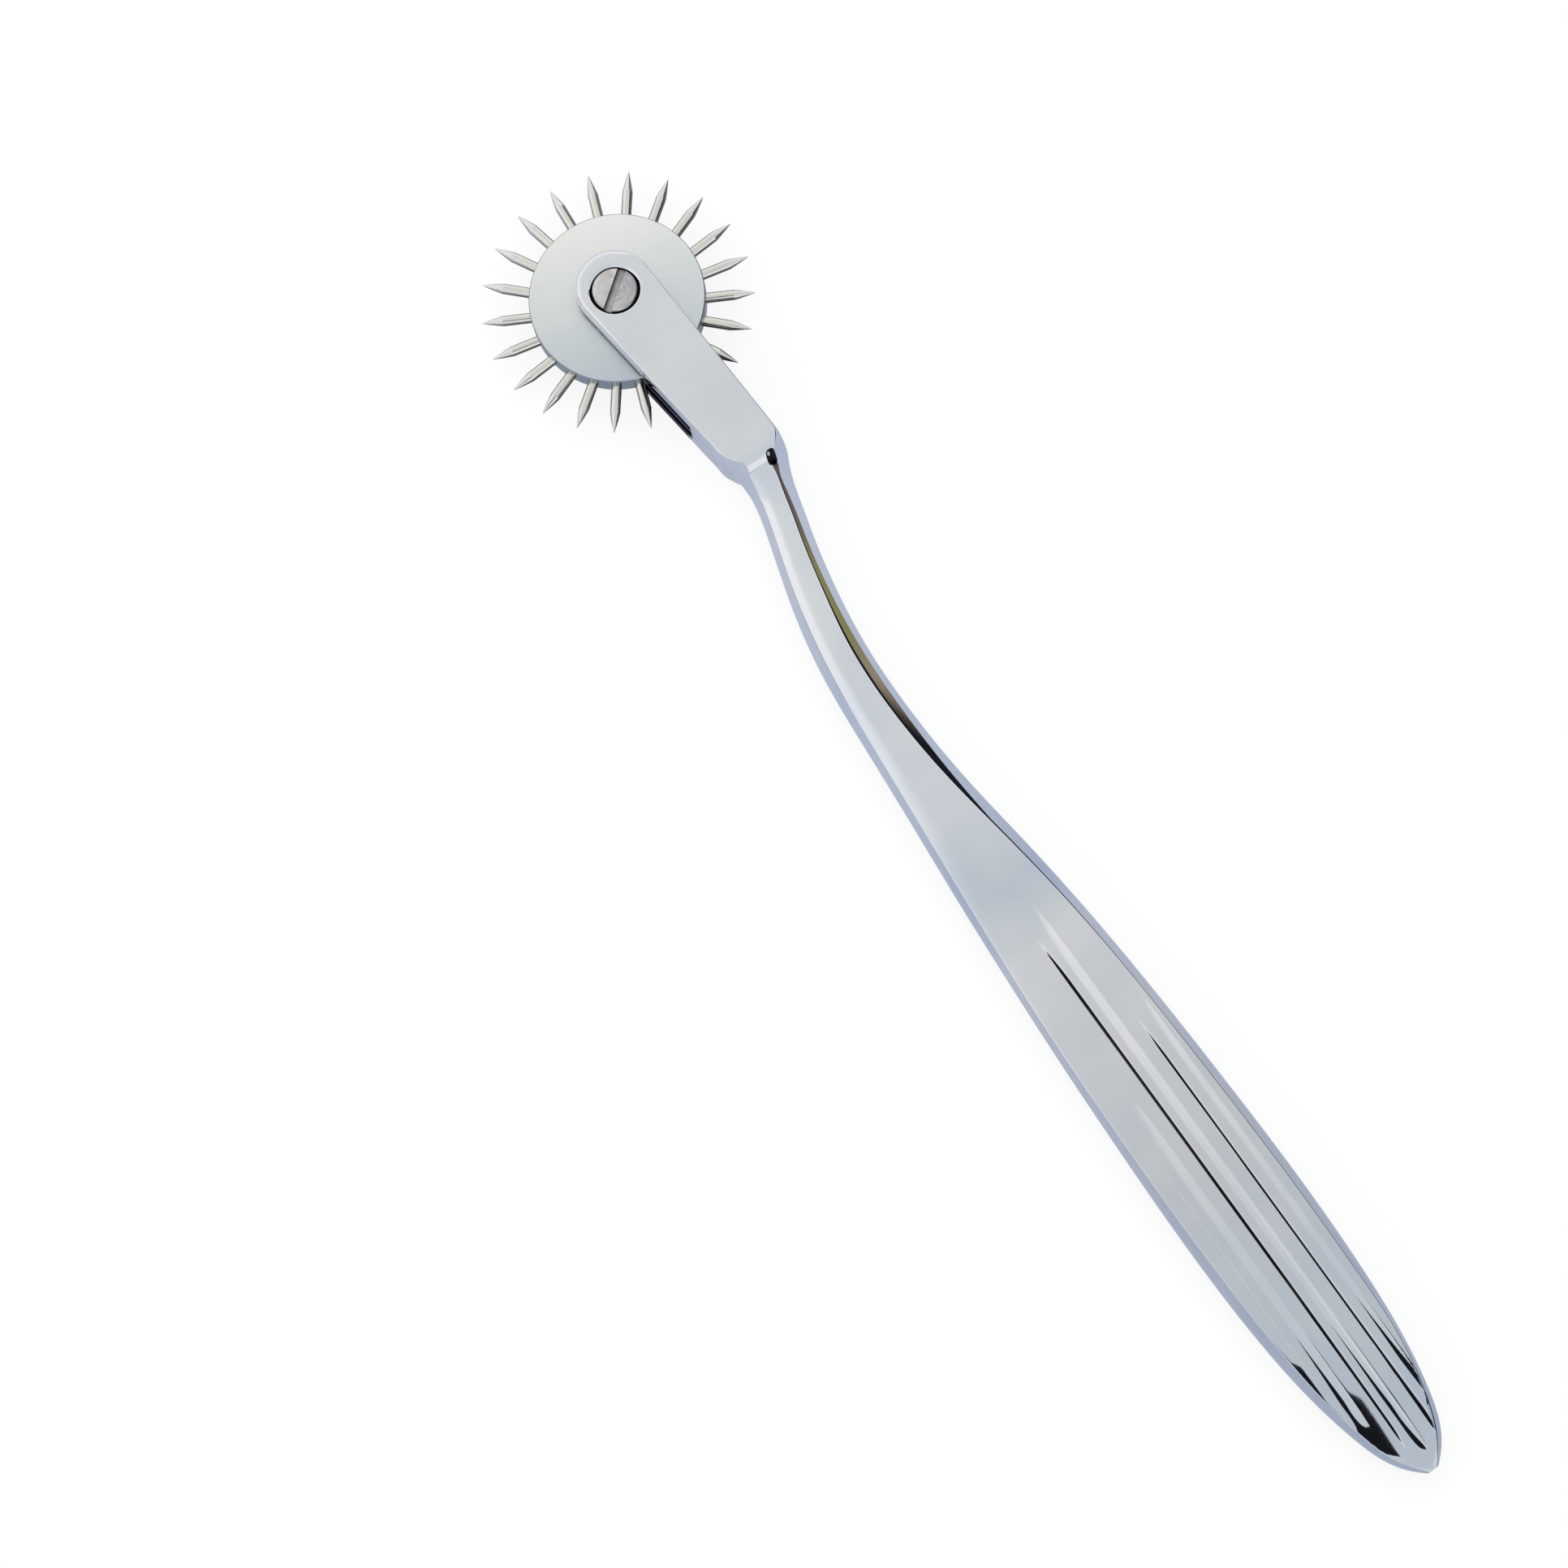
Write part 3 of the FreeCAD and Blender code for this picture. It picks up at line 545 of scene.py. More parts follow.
class Web:
    """Adds nodes to a tree and links them, with plain values or other nodes' outputs."""

    def __init__(self, tree):
        self.tree = tree

    def node(self, kind, links=None, **settings):
        node = self.tree.nodes.new(kind)
        for name, value in settings.items():
            setattr(node, name, value)
        for name, value in (links or {}).items():
            self.feed(node.inputs[name], value)
        return node

    def feed(self, socket, value):
        if isinstance(value, bpy.types.NodeSocket):
            self.tree.links.new(value, socket)
        else:
            socket.default_value = value

    def math(self, operation, a, b=0.0, c=0.0):
        return self.node("ShaderNodeMath", {0: a, 1: b, 2: c}, operation=operation).outputs[0]

    def masks(self, first, *others):
        """The product of masks."""
        for other in others:
            first = self.math("MULTIPLY", first, other)
        return first

    def remap(self, value, low, high, to_low=0.0, to_high=1.0, smooth=True):
        kind = "SMOOTHSTEP" if smooth else "LINEAR"
        links = {"Value": value, "From Min": low, "From Max": high, "To Min": to_low,
                 "To Max": to_high}
        return self.node("ShaderNodeMapRange", links, interpolation_type=kind).outputs[0]

    def between(self, value, start, end, blur):
        """1 from start to end and 0 outside, over a blur at each end."""
        rise = self.remap(value, start - blur, start)
        return self.masks(rise, self.remap(value, end + blur, end))

    def mix(self, factor, a, b):
        """From colour a to colour b; a plain colour is given by its three values."""
        links = {0: factor}
        for number, value in ((6, a), (7, b)):
            links[number] = colour4(value) if isinstance(value, tuple) else value
        return self.node("ShaderNodeMix", links, data_type="RGBA").outputs[2]

    def multiply(self, a, b):
        node = self.node("ShaderNodeVectorMath", {0: a, 1: b}, operation="MULTIPLY")
        return node.outputs[0]

    def dot(self, a, b):
        node = self.node("ShaderNodeVectorMath", {0: a, 1: b}, operation="DOT_PRODUCT")
        return node.outputs["Value"]

    def noise(self, vector, scale, detail, roughness=0.5):
        links = {"Vector": vector, "Scale": scale, "Detail": detail, "Roughness": roughness}
        return self.node("ShaderNodeTexNoise", links).outputs["Fac"]

    def place(self):
        return self.node("ShaderNodeTexCoord").outputs["Object"]

    def split(self, vector):
        return self.node("ShaderNodeSeparateXYZ", {0: vector}).outputs

    def ramp(self, factor, stops):
        """A colour ramp through positions and colours in rising order."""
        node = self.node("ShaderNodeValToRGB", {0: factor})
        elements = node.color_ramp.elements
        for number, (position, colour) in enumerate((stops[0], stops[-1])):
            elements[number].position = position
            elements[number].color = colour4(colour)
        for position, colour in stops[1:-1]:
            elements.new(position).color = colour4(colour)
        return node.outputs["Color"]


def node_group(name, inputs, outputs):
    """A shader node group with named sockets, and the web of its nodes."""
    group = bpy.data.node_groups.new(name, "ShaderNodeTree")
    for label, kind, default in inputs:
        socket = group.interface.new_socket(label, in_out="INPUT", socket_type=kind)
        socket.default_value = default
    for label, kind in outputs:
        group.interface.new_socket(label, in_out="OUTPUT", socket_type=kind)
    return group, Web(group)


def place_group(web, name, maker, values):
    """Places a shared node group, building it on first use."""
    group = bpy.data.node_groups.get(name) or maker()
    node = web.node("ShaderNodeGroup", node_tree=group)
    for label, value in values.items():
        web.feed(node.inputs[label], value)
    return node.outputs


def make_round_marks():
    """Group: marks that run round a centre or out from it. A noise is read at a point whose
    place round the centre and away from it are stretched by their own counts."""
    group, web = node_group("round_marks", [
        ("Centre X", "NodeSocketFloat", 0.0), ("Centre Y", "NodeSocketFloat", 0.0),
        ("Rings per metre", "NodeSocketFloat", 6000.0), ("Spokes", "NodeSocketFloat", 3.0),
    ], [("Marks", "NodeSocketFloat"), ("Radius", "NodeSocketFloat")])
    given = web.node("NodeGroupInput").outputs
    split = web.split(web.place())
    across = web.math("SUBTRACT", split["X"], given["Centre X"])
    up = web.math("SUBTRACT", split["Y"], given["Centre Y"])
    radius = web.math("SQRT", web.math("ADD", web.masks(across, across), web.masks(up, up)))
    safe = web.math("MAXIMUM", radius, 1e-6)
    round_x = web.masks(web.math("DIVIDE", across, safe), given["Spokes"])
    round_y = web.masks(web.math("DIVIDE", up, safe), given["Spokes"])
    rings = web.masks(radius, given["Rings per metre"])
    joined = web.node("ShaderNodeCombineXYZ", {"X": round_x, "Y": round_y, "Z": rings})
    marks = web.noise(joined.outputs[0], scale=1.0, detail=4.0, roughness=0.6)
    web.node("NodeGroupOutput", {"Marks": marks, "Radius": radius})
    return group


def make_cloudy_metal():
    """Group: a metal's colour with a faint cloudy change, and a mask of small pits."""
    group, web = node_group("cloudy_metal", [
        ("Colour", "NodeSocketColor", (0.8, 0.8, 0.8, 1)),
        ("Cloud colour", "NodeSocketColor", (0.7, 0.7, 0.75, 1)),
        ("Cloud scale", "NodeSocketFloat", 90.0), ("Pit scale", "NodeSocketFloat", 2500.0),
    ], [("Colour", "NodeSocketColor"), ("Clouds", "NodeSocketFloat"), ("Pits", "NodeSocketFloat")])
    given = web.node("NodeGroupInput").outputs
    place = web.place()
    clouds = web.remap(web.noise(place, given["Cloud scale"], detail=2.0), 0.38, 0.66)
    pits = web.remap(web.noise(place, given["Pit scale"], detail=1.0), 0.68, 0.76)
    colour = web.mix(clouds, given["Colour"], given["Cloud colour"])
    web.node("NodeGroupOutput", {"Colour": colour, "Clouds": clouds, "Pits": pits})
    return group


def cloudy_metal(web, colour, cloud, cloud_scale, pit_scale):
    """The outputs of the cloudy metal group with its own values."""
    return place_group(web, "cloudy_metal", make_cloudy_metal, {
        "Colour": colour4(colour), "Cloud colour": colour4(cloud), "Cloud scale": cloud_scale,
        "Pit scale": pit_scale})


def new_metal(name, roughness):
    """A material with a bare metal shader; returns it, its web and its shader node."""
    material = bpy.data.materials.new(name)
    material.use_nodes = True
    web = Web(material.node_tree)
    shader = material.node_tree.nodes["Principled BSDF"]
    shader.inputs["Metallic"].default_value = 1.0
    shader.inputs["Roughness"].default_value = roughness
    return material, web, shader


def metres(*lengths):
    """Lengths given in millimetres, in metres."""
    return [length * MM for length in lengths]


def bump(web, shader, height, distance, strength):
    links = {"Height": height, "Distance": distance, "Strength": strength}
    node = web.node("ShaderNodeBump", links)
    web.feed(shader.inputs["Normal"], node.outputs["Normal"])


# The polish of the handle

# How much of its colour the polish keeps at places along X, in millimetres: a painted light and
# shade along the handle, lighter and darker where the studio's light falls on it.
PAINTED_SHADE_ALONG = [
    (6, (0.94, 0.945, 0.95)), (22, (0.90, 0.915, 0.93)), (35, (1.0, 1.0, 1.0)),
    (60, (0.88, 0.91, 0.94)), (69, (0.92, 0.94, 0.95)), (84, (0.74, 0.79, 0.85)),
    (92, (0.91, 0.91, 0.90)), (122, (0.78, 0.79, 0.80)), (156, (0.73, 0.77, 0.81)),
]
# Painted colours: the dark of painted shade and of a painted dark reflection, a painted streak of
# reflected light in the slot, the painted lit side of the ring round the screw's head, and a
# painted shade on the front ear's lower wall.
PAINTED_DARK = (0.012, 0.012, 0.016)
SLOT_STREAK = (0.30, 0.34, 0.44)
RIM_WARM = (0.20, 0.18, 0.15)
LOW_WALL_SHADE = (0.42, 0.48, 0.58)

# Fades of the masks of painted light and shade, in millimetres, each from where its mask is 0 to
# where it is 1. The ring's are measured out from its wall, up from its foot and along the way
# towards the rim's worn stretch, where it has its painted lit side, and the slot's from its walls
# and floor.
WORN_AND_LIT_WAY = (-0.95, 0.33, 0)
RING_FADE = (0.06, 0.03)
RING_SINK = (0, -0.02)
RING_WARM_FADE = (1.6, 2.8)
SLOT_WALL_FADE = (0.06, 0.01)
SLOT_FLOOR_FADE = (0.08, 0.02)
BELOW_AXIS = (0, -1)
REAR_WALL_FADE = (18.3, 17.2)
FRONT_WALL_FADE = (19, 15)

# Where, along the way towards the worn stretch, the painted ring's foot drops from the rim's lip
# to just under that stretch.
FOOT_DROPS = (-0.6, 1.2)
FOOT_MARGIN = 0.01

# Starts, ends and blurs of masks: of the painted streak of reflected light above the ear's lower
# edge, and of the painted shade on the ears' lower walls, from the middle plane.
STREAK = (0.34, 0.44, 0.05)
REAR_WALL = (-3.9, -SLOT_HALF, 0.1)
FRONT_WALL = (2.2, 3.1, 0.25)

# The painted dark reflection in the corner at the neck's root: its middle, its half length and
# half width, its lean, the fade of its edge, and the bounds of the small painted light spot in it
# with the share of the dark that is left there. Across, both are measured on lines that lean
# with it and pass through their heights at ROOT_ZERO.
ROOT_MIDDLE = (27.08, 3.34)
ROOT_HALF = (0.80, 0.62)
ROOT_LEAN = 0.28
ROOT_ZERO = 27
ROOT_FADE = (1.1, 0.75)
ROOT_SPOT_X = (26.56, 26.80)
ROOT_SPOT_Y = (3.00, 3.22)
ROOT_SPOT_BLUR = 0.08
ROOT_SPOT_LEFT = 0.45


def ring_masks(web, place, away):
    """Painted shade in the ring round the screw's head, and its painted lit side in a warm grey.
    """
    flat = web.multiply(place, (1, 1, 0))
    radius = web.node("ShaderNodeVectorMath", {0: flat}, operation="LENGTH").outputs["Value"]
    facing = web.dot(flat, WORN_AND_LIT_WAY)
    foot = web.remap(facing, *metres(*FOOT_DROPS, FORK_HALF - RIM_LIP[1],
                                     FORK_HALF - RIM_DROP - FOOT_MARGIN))
    sunk = web.math("SUBTRACT", away, foot)
    inside = web.remap(radius, *metres(*[RIM_RADIUS + past for past in RING_FADE]))
    ring = web.masks(inside, web.remap(sunk, *metres(*RING_SINK)))
    # The ring is painted shade; its share towards the worn stretch is painted light.
    return ring, web.masks(ring, web.remap(facing, *metres(*RING_WARM_FADE)))


def slot_masks(web, split, level, away):
    """Painted shade in the slot's inside, a painted streak of reflected light in it, and painted
    shade on the rear ear's lower wall beside it.
    """
    in_slot = web.masks(
        web.remap(away, *metres(*[SLOT_HALF + past for past in SLOT_WALL_FADE])),
        web.remap(split["X"], *metres(*[SLOT_FLOOR + past for past in SLOT_FLOOR_FADE])))
    edge_y = web.math("MULTIPLY_ADD", split["X"], LOWER_SLOPE, LOWER_START * MM)
    from_edge = web.math("SUBTRACT", split["Y"], edge_y)
    streak = web.masks(in_slot, web.between(from_edge, *metres(*STREAK)))
    rear_wall = web.masks(web.between(level, *metres(*REAR_WALL)),
                          web.remap(split["X"], *metres(*REAR_WALL_FADE)),
                          web.remap(split["Y"], *metres(*BELOW_AXIS)))
    return in_slot, streak, rear_wall


def painted_root_reflection(web, split, level):
    """The painted dark reflection at the neck's root: |u|^3 + |v|^3 under 1, with u and v its
    shares along and across, on the front face only, and weaker in its painted light spot."""
    leaning = web.math("MULTIPLY_ADD", split["X"], ROOT_LEAN, split["Y"])
    zero = ROOT_LEAN * ROOT_ZERO
    cubes = []
    for value, middle, half in ((split["X"], ROOT_MIDDLE[0], ROOT_HALF[0]),
                                (leaning, ROOT_MIDDLE[1] + zero, ROOT_HALF[1])):
        share = web.math("MULTIPLY_ADD", value, 1 / (half * MM), -middle / half)
        cubes.append(web.math("POWER", web.math("ABSOLUTE", share), 3.0))
    fleck = web.remap(web.math("ADD", *cubes), *ROOT_FADE)
    spot_y = [height + zero for height in ROOT_SPOT_Y]
    spot = web.masks(web.between(split["X"], *metres(*ROOT_SPOT_X, ROOT_SPOT_BLUR)),
                     web.between(leaning, *metres(*spot_y, ROOT_SPOT_BLUR)))
    return web.masks(fleck, web.remap(level, 0, MM),
                     web.remap(spot, 0, 1, 1, ROOT_SPOT_LEFT))


def mirror_polish(finish):
    """The buffed handle: nearly a mirror, with faint clouds and the lightest waviness. It carries
    painted light and shade along its length, painted shade on the front ear's lower wall, in the
    slot, on the rear ear's lower wall and in the ring round the screw's head, a painted streak of
    reflected light in the slot, a painted lit side of the ring, and a painted dark reflection in
    the corner at the neck's root."""
    material, web, shader = new_metal("mirror_polish", finish.handle_roughness)
    metal = cloudy_metal(web, finish.handle_colour, finish.handle_cloud, cloud_scale=120.0,
                         pit_scale=3000.0)
    place = web.place()
    split = web.split(place)
    level = web.math("SUBTRACT", split["Z"], MIDDLE * MM)
    away = web.math("ABSOLUTE", level)
    ring, warm = ring_masks(web, place, away)
    in_slot, streak, rear_wall = slot_masks(web, split, level, away)
    # Where painted shade darkens the handle, and the colour painted there, with its painted streak
    # of reflected light and the ring's painted lit side.
    painted_shade_mask = web.math("MAXIMUM", web.math("MAXIMUM", ring, in_slot), rear_wall)
    painted_shade_colour = web.mix(warm, web.mix(streak, PAINTED_DARK, SLOT_STREAK), RIM_WARM)
    # Painted light and shade along the handle.
    along = web.math("DIVIDE", split["X"], TIP_REACH * MM)
    shade_along = web.ramp(along, [(x / TIP_REACH, shade) for x, shade in PAINTED_SHADE_ALONG])
    # Painted shade on the front ear's lower wall, darker and bluer.
    low_wall_shade = web.masks(web.between(level, *metres(*FRONT_WALL)),
                         web.remap(split["X"], *metres(*FRONT_WALL_FADE)),
                         web.remap(split["Y"], *metres(*BELOW_AXIS)))
    toned_metal = web.multiply(metal["Colour"], web.mix(low_wall_shade, shade_along, LOW_WALL_SHADE))
    # The painted dark reflection at the neck's root goes over all the rest.
    colour = web.mix(painted_root_reflection(web, split, level), web.mix(painted_shade_mask, toned_metal, painted_shade_colour), PAINTED_DARK)
    web.feed(shader.inputs["Base Color"], colour)
    waves = web.noise(place, scale=260.0, detail=2.0)
    bump(web, shader, waves, distance=0.01 * MM, strength=0.25)
    rough = web.remap(metal["Clouds"], 0, 1, finish.handle_roughness,
                      finish.handle_roughness + 0.02)
    rough = web.math("ADD", rough, web.masks(painted_shade_mask, 0.5))
    web.feed(shader.inputs["Roughness"], rough)
    return material


# The finishes of the wheel and the screw

# The disc's face ends at FACE_RADIUS, and a painted light on it grows along DISC_WAY. The
# painted highlight along the rim and the painted shade on the side start at these distances from
# the face's edge.
FACE_RADIUS = 10.18
DISC_WAY = (-0.93, 0.37, 0)
DISC_REACH = 10.5
RIM_HIGHLIGHT_FROM = (-0.48, -0.03)
RIM_HIGHLIGHT_WAY = (0, 8)
DISC_SIDE_FROM = (0.01, 0.05)
RIM_HIGHLIGHT = (0.97, 0.97, 0.93)
PIT_GREY = (0.5, 0.5, 0.5)
DISC_SIDE_SHADE = (0.30, 0.33, 0.36)

# The pins' points start between these distances from their ring's centre. Their flanks carry
# a painted shade where they turn away from PIN_LIGHT.
POINT_START = (13.10, 13.45)
PIN_LIGHT = (-0.11, -0.16, 1)
FLANK_TURNS = (0.66, 0.34)
POINT_STEEL = (0.80, 0.80, 0.78)
PIN_STAIN = (0.52, 0.50, 0.46)
PIN_FLANK_SHADE = (0.13, 0.12, 0.10)

# SCREW_WAY runs across the screw's slot. Along it, from the axis, the head's far colour, its
# arcs and its blots grow between these distances, and the slot's shadow fades. In the slot
# the finish changes between the two depths under the head's top.
SCREW_WAY = (0.799, 0.602, 0)
SCREW_FAR_FROM = (-1.6, 1.8)
SCREW_ARCS_FROM = (-0.4, 0.7)
SCREW_BLOTS_FROM = (-2.4, 0.6)
SCREW_SHADOW_FADE = (0.05, -0.5)
SCREW_SLOT_DEPTHS = (0.12, 0.28)
SCREW_PIT = (0.42, 0.38, 0.33)
SCREW_FAR = (0.50, 0.49, 0.51)
SCREW_ARC = (0.26, 0.26, 0.29)
SCREW_BLOT = (0.36, 0.36, 0.40)
SCREW_SHADOW = (0.10, 0.09, 0.08)


def satin_disc(finish):
    """The wheel's disc: brushed round its axis to a satin, with a painted light across its face,
    a painted highlight along one side of its rim and a painted shade on its side.
    """
    material, web, shader = new_metal("satin_disc", finish.disc_roughness)
    marks = place_group(web, "round_marks", make_round_marks,
                        {"Rings per metre": 9000.0, "Spokes": 2.5})
    metal = cloudy_metal(web, finish.disc_colour, finish.disc_cloud, cloud_scale=110.0,
                         pit_scale=1800.0)
    # Painted light: the face's colour grows along one way across it, from a painted shade to full.
    across = web.dot(web.place(), DISC_WAY)
    shade = web.remap(across, *metres(-DISC_REACH, DISC_REACH), smooth=False)
    tone = web.mix(shade, tuple(finish.disc_painted_shade), (1, 1, 1))
    colour = web.multiply(metal["Colour"], tone)
    # A painted highlight on one side of the rim, growing towards its edge.
    rim = web.remap(marks["Radius"], *metres(*[FACE_RADIUS + past for past in RIM_HIGHLIGHT_FROM]))
    worn = web.masks(rim, web.remap(across, *metres(*RIM_HIGHLIGHT_WAY), 0, 0.55))
    colour = web.mix(worn, colour, RIM_HIGHLIGHT)
    colour = web.mix(web.masks(metal["Pits"], 0.10), colour, PIT_GREY)
    # Painted shade on the disc's side beyond the face.
    side = web.remap(marks["Radius"],
                     *metres(*[FACE_RADIUS + past for past in DISC_SIDE_FROM]))
    colour = web.mix(web.masks(side, 0.85), colour, DISC_SIDE_SHADE)
    web.feed(shader.inputs["Base Color"], colour)
    rough = web.remap(marks["Marks"], 0.3, 0.7, finish.disc_roughness - 0.05,
                      finish.disc_roughness + 0.06)
    web.feed(shader.inputs["Roughness"], rough)
    bump(web, shader, marks["Marks"], distance=0.012 * MM, strength=0.35)
    return material


def ground_pins(finish):
    """The pins: bright hard steel, with the fine cross marks of the wheel that ground them, and
    painted shade on their flanks.
    """
    material, web, shader = new_metal("ground_pins", finish.pin_roughness)
    marks = place_group(web, "round_marks", make_round_marks, {
        "Centre X": RING_CENTRE[0] * MM, "Centre Y": RING_CENTRE[1] * MM,
        "Rings per metre": 5200.0, "Spokes": 60.0})
    point = web.remap(marks["Radius"], *metres(*POINT_START))
    colour = web.mix(web.masks(point, 0.5), tuple(finish.pin_colour), POINT_STEEL)
    stain = web.remap(marks["Marks"], 0.60, 0.78)
    colour = web.mix(web.masks(stain, 0.35), colour, PIN_STAIN)
    # Painted shade on the flanks that turn away from the light.
    upward = web.dot(web.node("ShaderNodeTexCoord").outputs["Normal"], PIN_LIGHT)
    flank_shade = web.remap(upward, *FLANK_TURNS)
    colour = web.mix(web.masks(flank_shade, 0.9), colour, PIN_FLANK_SHADE)
    web.feed(shader.inputs["Base Color"], colour)
    rough = web.remap(marks["Marks"], 0.3, 0.7, finish.pin_roughness - 0.03,
                      finish.pin_roughness + 0.08)
    web.feed(shader.inputs["Roughness"], rough)
    bump(web, shader, marks["Marks"], distance=0.01 * MM, strength=0.3)
    return material


def turned_screw(finish):
    """The axle screw: warm turned steel with arcs and blots, mostly on one side of its slot,
    and a rougher, shaded slot."""
    material, web, shader = new_metal("turned_screw", finish.screw_roughness)
    marks = place_group(web, "round_marks", make_round_marks,
                        {"Rings per metre": 4200.0, "Spokes": 1.2})
    metal = cloudy_metal(web, finish.screw_colour, finish.screw_cloud, cloud_scale=520.0,
                         pit_scale=3800.0)
    place = web.place()
    top = HEAD_TOP + MIDDLE
    sunk = web.remap(web.split(place)["Z"],
                     *metres(*[top - depth for depth in SCREW_SLOT_DEPTHS]))
    over = web.dot(place, SCREW_WAY)
    colour = web.mix(web.masks(metal["Pits"], 0.5), metal["Colour"], SCREW_PIT)
    far = web.remap(over, *metres(*SCREW_FAR_FROM), 0, 0.65)
    colour = web.mix(far, colour, SCREW_FAR)
    arcs = web.masks(web.remap(marks["Marks"], 0.42, 0.66),
                     web.remap(over, *metres(*SCREW_ARCS_FROM), 0.12, 0.55))
    colour = web.mix(arcs, colour, SCREW_ARC)
    blots = web.masks(metal["Clouds"],
                      web.remap(over, *metres(*SCREW_BLOTS_FROM), 0.10, 0.45))
    colour = web.mix(blots, colour, SCREW_BLOT)
    shadow = web.remap(over, *metres(*SCREW_SHADOW_FADE), 0.25, 0.85)
    colour = web.mix(web.masks(sunk, shadow), colour, SCREW_SHADOW)
    web.feed(shader.inputs["Base Color"], colour)
    rough = web.remap(sunk, 0, 1, finish.screw_roughness, finish.screw_roughness + 0.15)
    web.feed(shader.inputs["Roughness"], rough)
    relief = web.math("ADD", marks["Marks"], metal["Pits"])
    bump(web, shader, relief, distance=0.02 * MM, strength=0.5)
    return material


# The studio

# Bearings round the studio in degrees from the grip's direction, with the colour of the wall
# there: white walls, a hazy stretch on the near side, and a dark room on the far side with
# olive and brown tones in it.
WHITE = (0.97, 0.98, 1.0)
DARK = (0.012, 0.012, 0.015)
SKIRT = (0.16, 0.13, 0.08)
HAZE = (0.60, 0.63, 0.70)
WALLS = [
    (-180, WHITE), (-112, WHITE), (-98, HAZE), (-30, HAZE), (-18, WHITE), (24, WHITE),
    (30, DARK), (76, DARK), (80, (0.10, 0.08, 0.06)), (90, (0.16, 0.13, 0.11)),
    (94, (0.27, 0.25, 0.11)), (99, (0.29, 0.26, 0.12)), (103, (0.36, 0.28, 0.22)),
    (106, DARK), (113, DARK), (117, WHITE), (180, WHITE),
]

# The same bearings for the fades at the far side's two ends, and for the ends of the dark
# skirt. The blurs are in degrees too.
FAR_SIDE = ((24, 30), (116, 112))
SKIRT_SIDE = (-128, -112)
SKIRT_BLUR = 2
WALL_BLUR = 2
DRAPE_BLUR = 1

# Where the ceiling changes: from the left colour to the right one along X, to white over
# the far walls in degrees, and to white on the near side along Y, where X takes it back to
# a share. X and Y are those of the direction.
CEILING_TURNS = (-0.45, 0.1)
PALE_RIM = 14
NEAR_PALE_FROM = (-0.04, -0.34)
NEAR_PALE_BACK = (-0.22, -0.06, 1.0, 0.35)

# The camera, found from the wheel's ellipse and the handle's outline.
CAMERA_PLACE = Vector((0.19577, -0.06840, 0.57044))
CAMERA_AHEAD = Vector((-0.2342, 0.0876, -0.9682)).normalized()
CAMERA_UP = Vector((-0.7891, 0.5646, 0.2419))
CAMERA_LENS = 118.41
CAMERA_SENSOR = 36.0

# The shade over the camera, in metres: its height above it, where its near edge starts, its
# length, and how far its near and its far end reach to each side.
SHADE_ABOVE = 0.03
SHADE_START = -0.020
SHADE_LENGTH = 0.22
SHADE_NEAR = (-0.075, 0.06)
SHADE_FAR = (-0.20, 0.10)

# The floor and the lamp, in metres.
FLOOR_HALF = 1.6
FLOOR_LEVEL = -0.0001
FLOOR_WHITE = (0.95, 0.94, 0.92)
LAMP_PLACE = (0.0, 0.05, 0.9)
LAMP_AIM = (0.07, 0, 0)
LAMP_SIZE = 0.7


def turn_share(degrees):
    """A bearing as a share of the turn that starts behind the nose."""
    return (degrees + 180) / 360


def make_sky(settings):
    """The studio by direction: a pale ceiling, white walls, and a dark room on the far side,
    under a band of black drape. It lights the part and shows in the polish, while the camera
    sees plain white behind the part."""
    world = bpy.data.worlds.new("studio")
    world.use_nodes = True
    bpy.context.scene.world = world
    web = Web(world.node_tree)
    back = world.node_tree.nodes["Background"]
    split = web.split(web.node("ShaderNodeTexCoord").outputs["Generated"])
    bearing = web.math("ARCTAN2", split["Y"], split["X"])
    turn = web.remap(bearing, -math.pi, math.pi, smooth=False)
    height = web.math("MULTIPLY", web.math("ARCSINE", split["Z"]), 180 / math.pi)
    wall = web.ramp(turn, [(turn_share(angle), colour) for angle, colour in WALLS])
    far_side = web.masks(*[web.remap(turn, turn_share(start), turn_share(end))
                           for start, end in FAR_SIDE])
    drape = web.remap(height, settings.drape_foot - DRAPE_BLUR, settings.drape_foot + DRAPE_BLUR)
    wall = web.mix(web.masks(far_side, drape), wall, DARK)
    skirt = web.masks(
        web.between(turn, turn_share(SKIRT_SIDE[0]), turn_share(SKIRT_SIDE[1]), SKIRT_BLUR / 360),
        web.remap(height, settings.skirt_top + DRAPE_BLUR, settings.skirt_top - DRAPE_BLUR))
    wall = web.mix(skirt, wall, SKIRT)
    top = web.remap(far_side, 0, 1, settings.near_wall_top, settings.wall_top, smooth=False)
    roof = web.remap(web.math("SUBTRACT", height, top), -WALL_BLUR, WALL_BLUR)
    ceiling = web.mix(web.remap(split["X"], *CEILING_TURNS), tuple(settings.ceiling_left),
                      tuple(settings.ceiling_right))
    rim = web.remap(height, settings.wall_top + PALE_RIM, settings.wall_top)
    near_pale = web.masks(web.remap(split["Y"], *NEAR_PALE_FROM),
                          web.remap(split["X"], *NEAR_PALE_BACK))
    ceiling = web.mix(web.math("MAXIMUM", rim, near_pale), ceiling, WHITE)
    seen = web.mix(roof, wall, ceiling)
    path = web.node("ShaderNodeLightPath").outputs
    web.feed(back.inputs["Color"], web.mix(path["Is Camera Ray"], seen, (1, 1, 1)))


def make_sheet(name, corners, material):
    """A flat sheet, made of its four corners."""
    mesh = bpy.data.meshes.new(name)
    mesh.from_pydata(corners, [], [(0, 1, 2, 3)])
    mesh.materials.append(material)
    sheet = bpy.data.objects.new(name, mesh)
    bpy.context.scene.collection.objects.link(sheet)
    return sheet


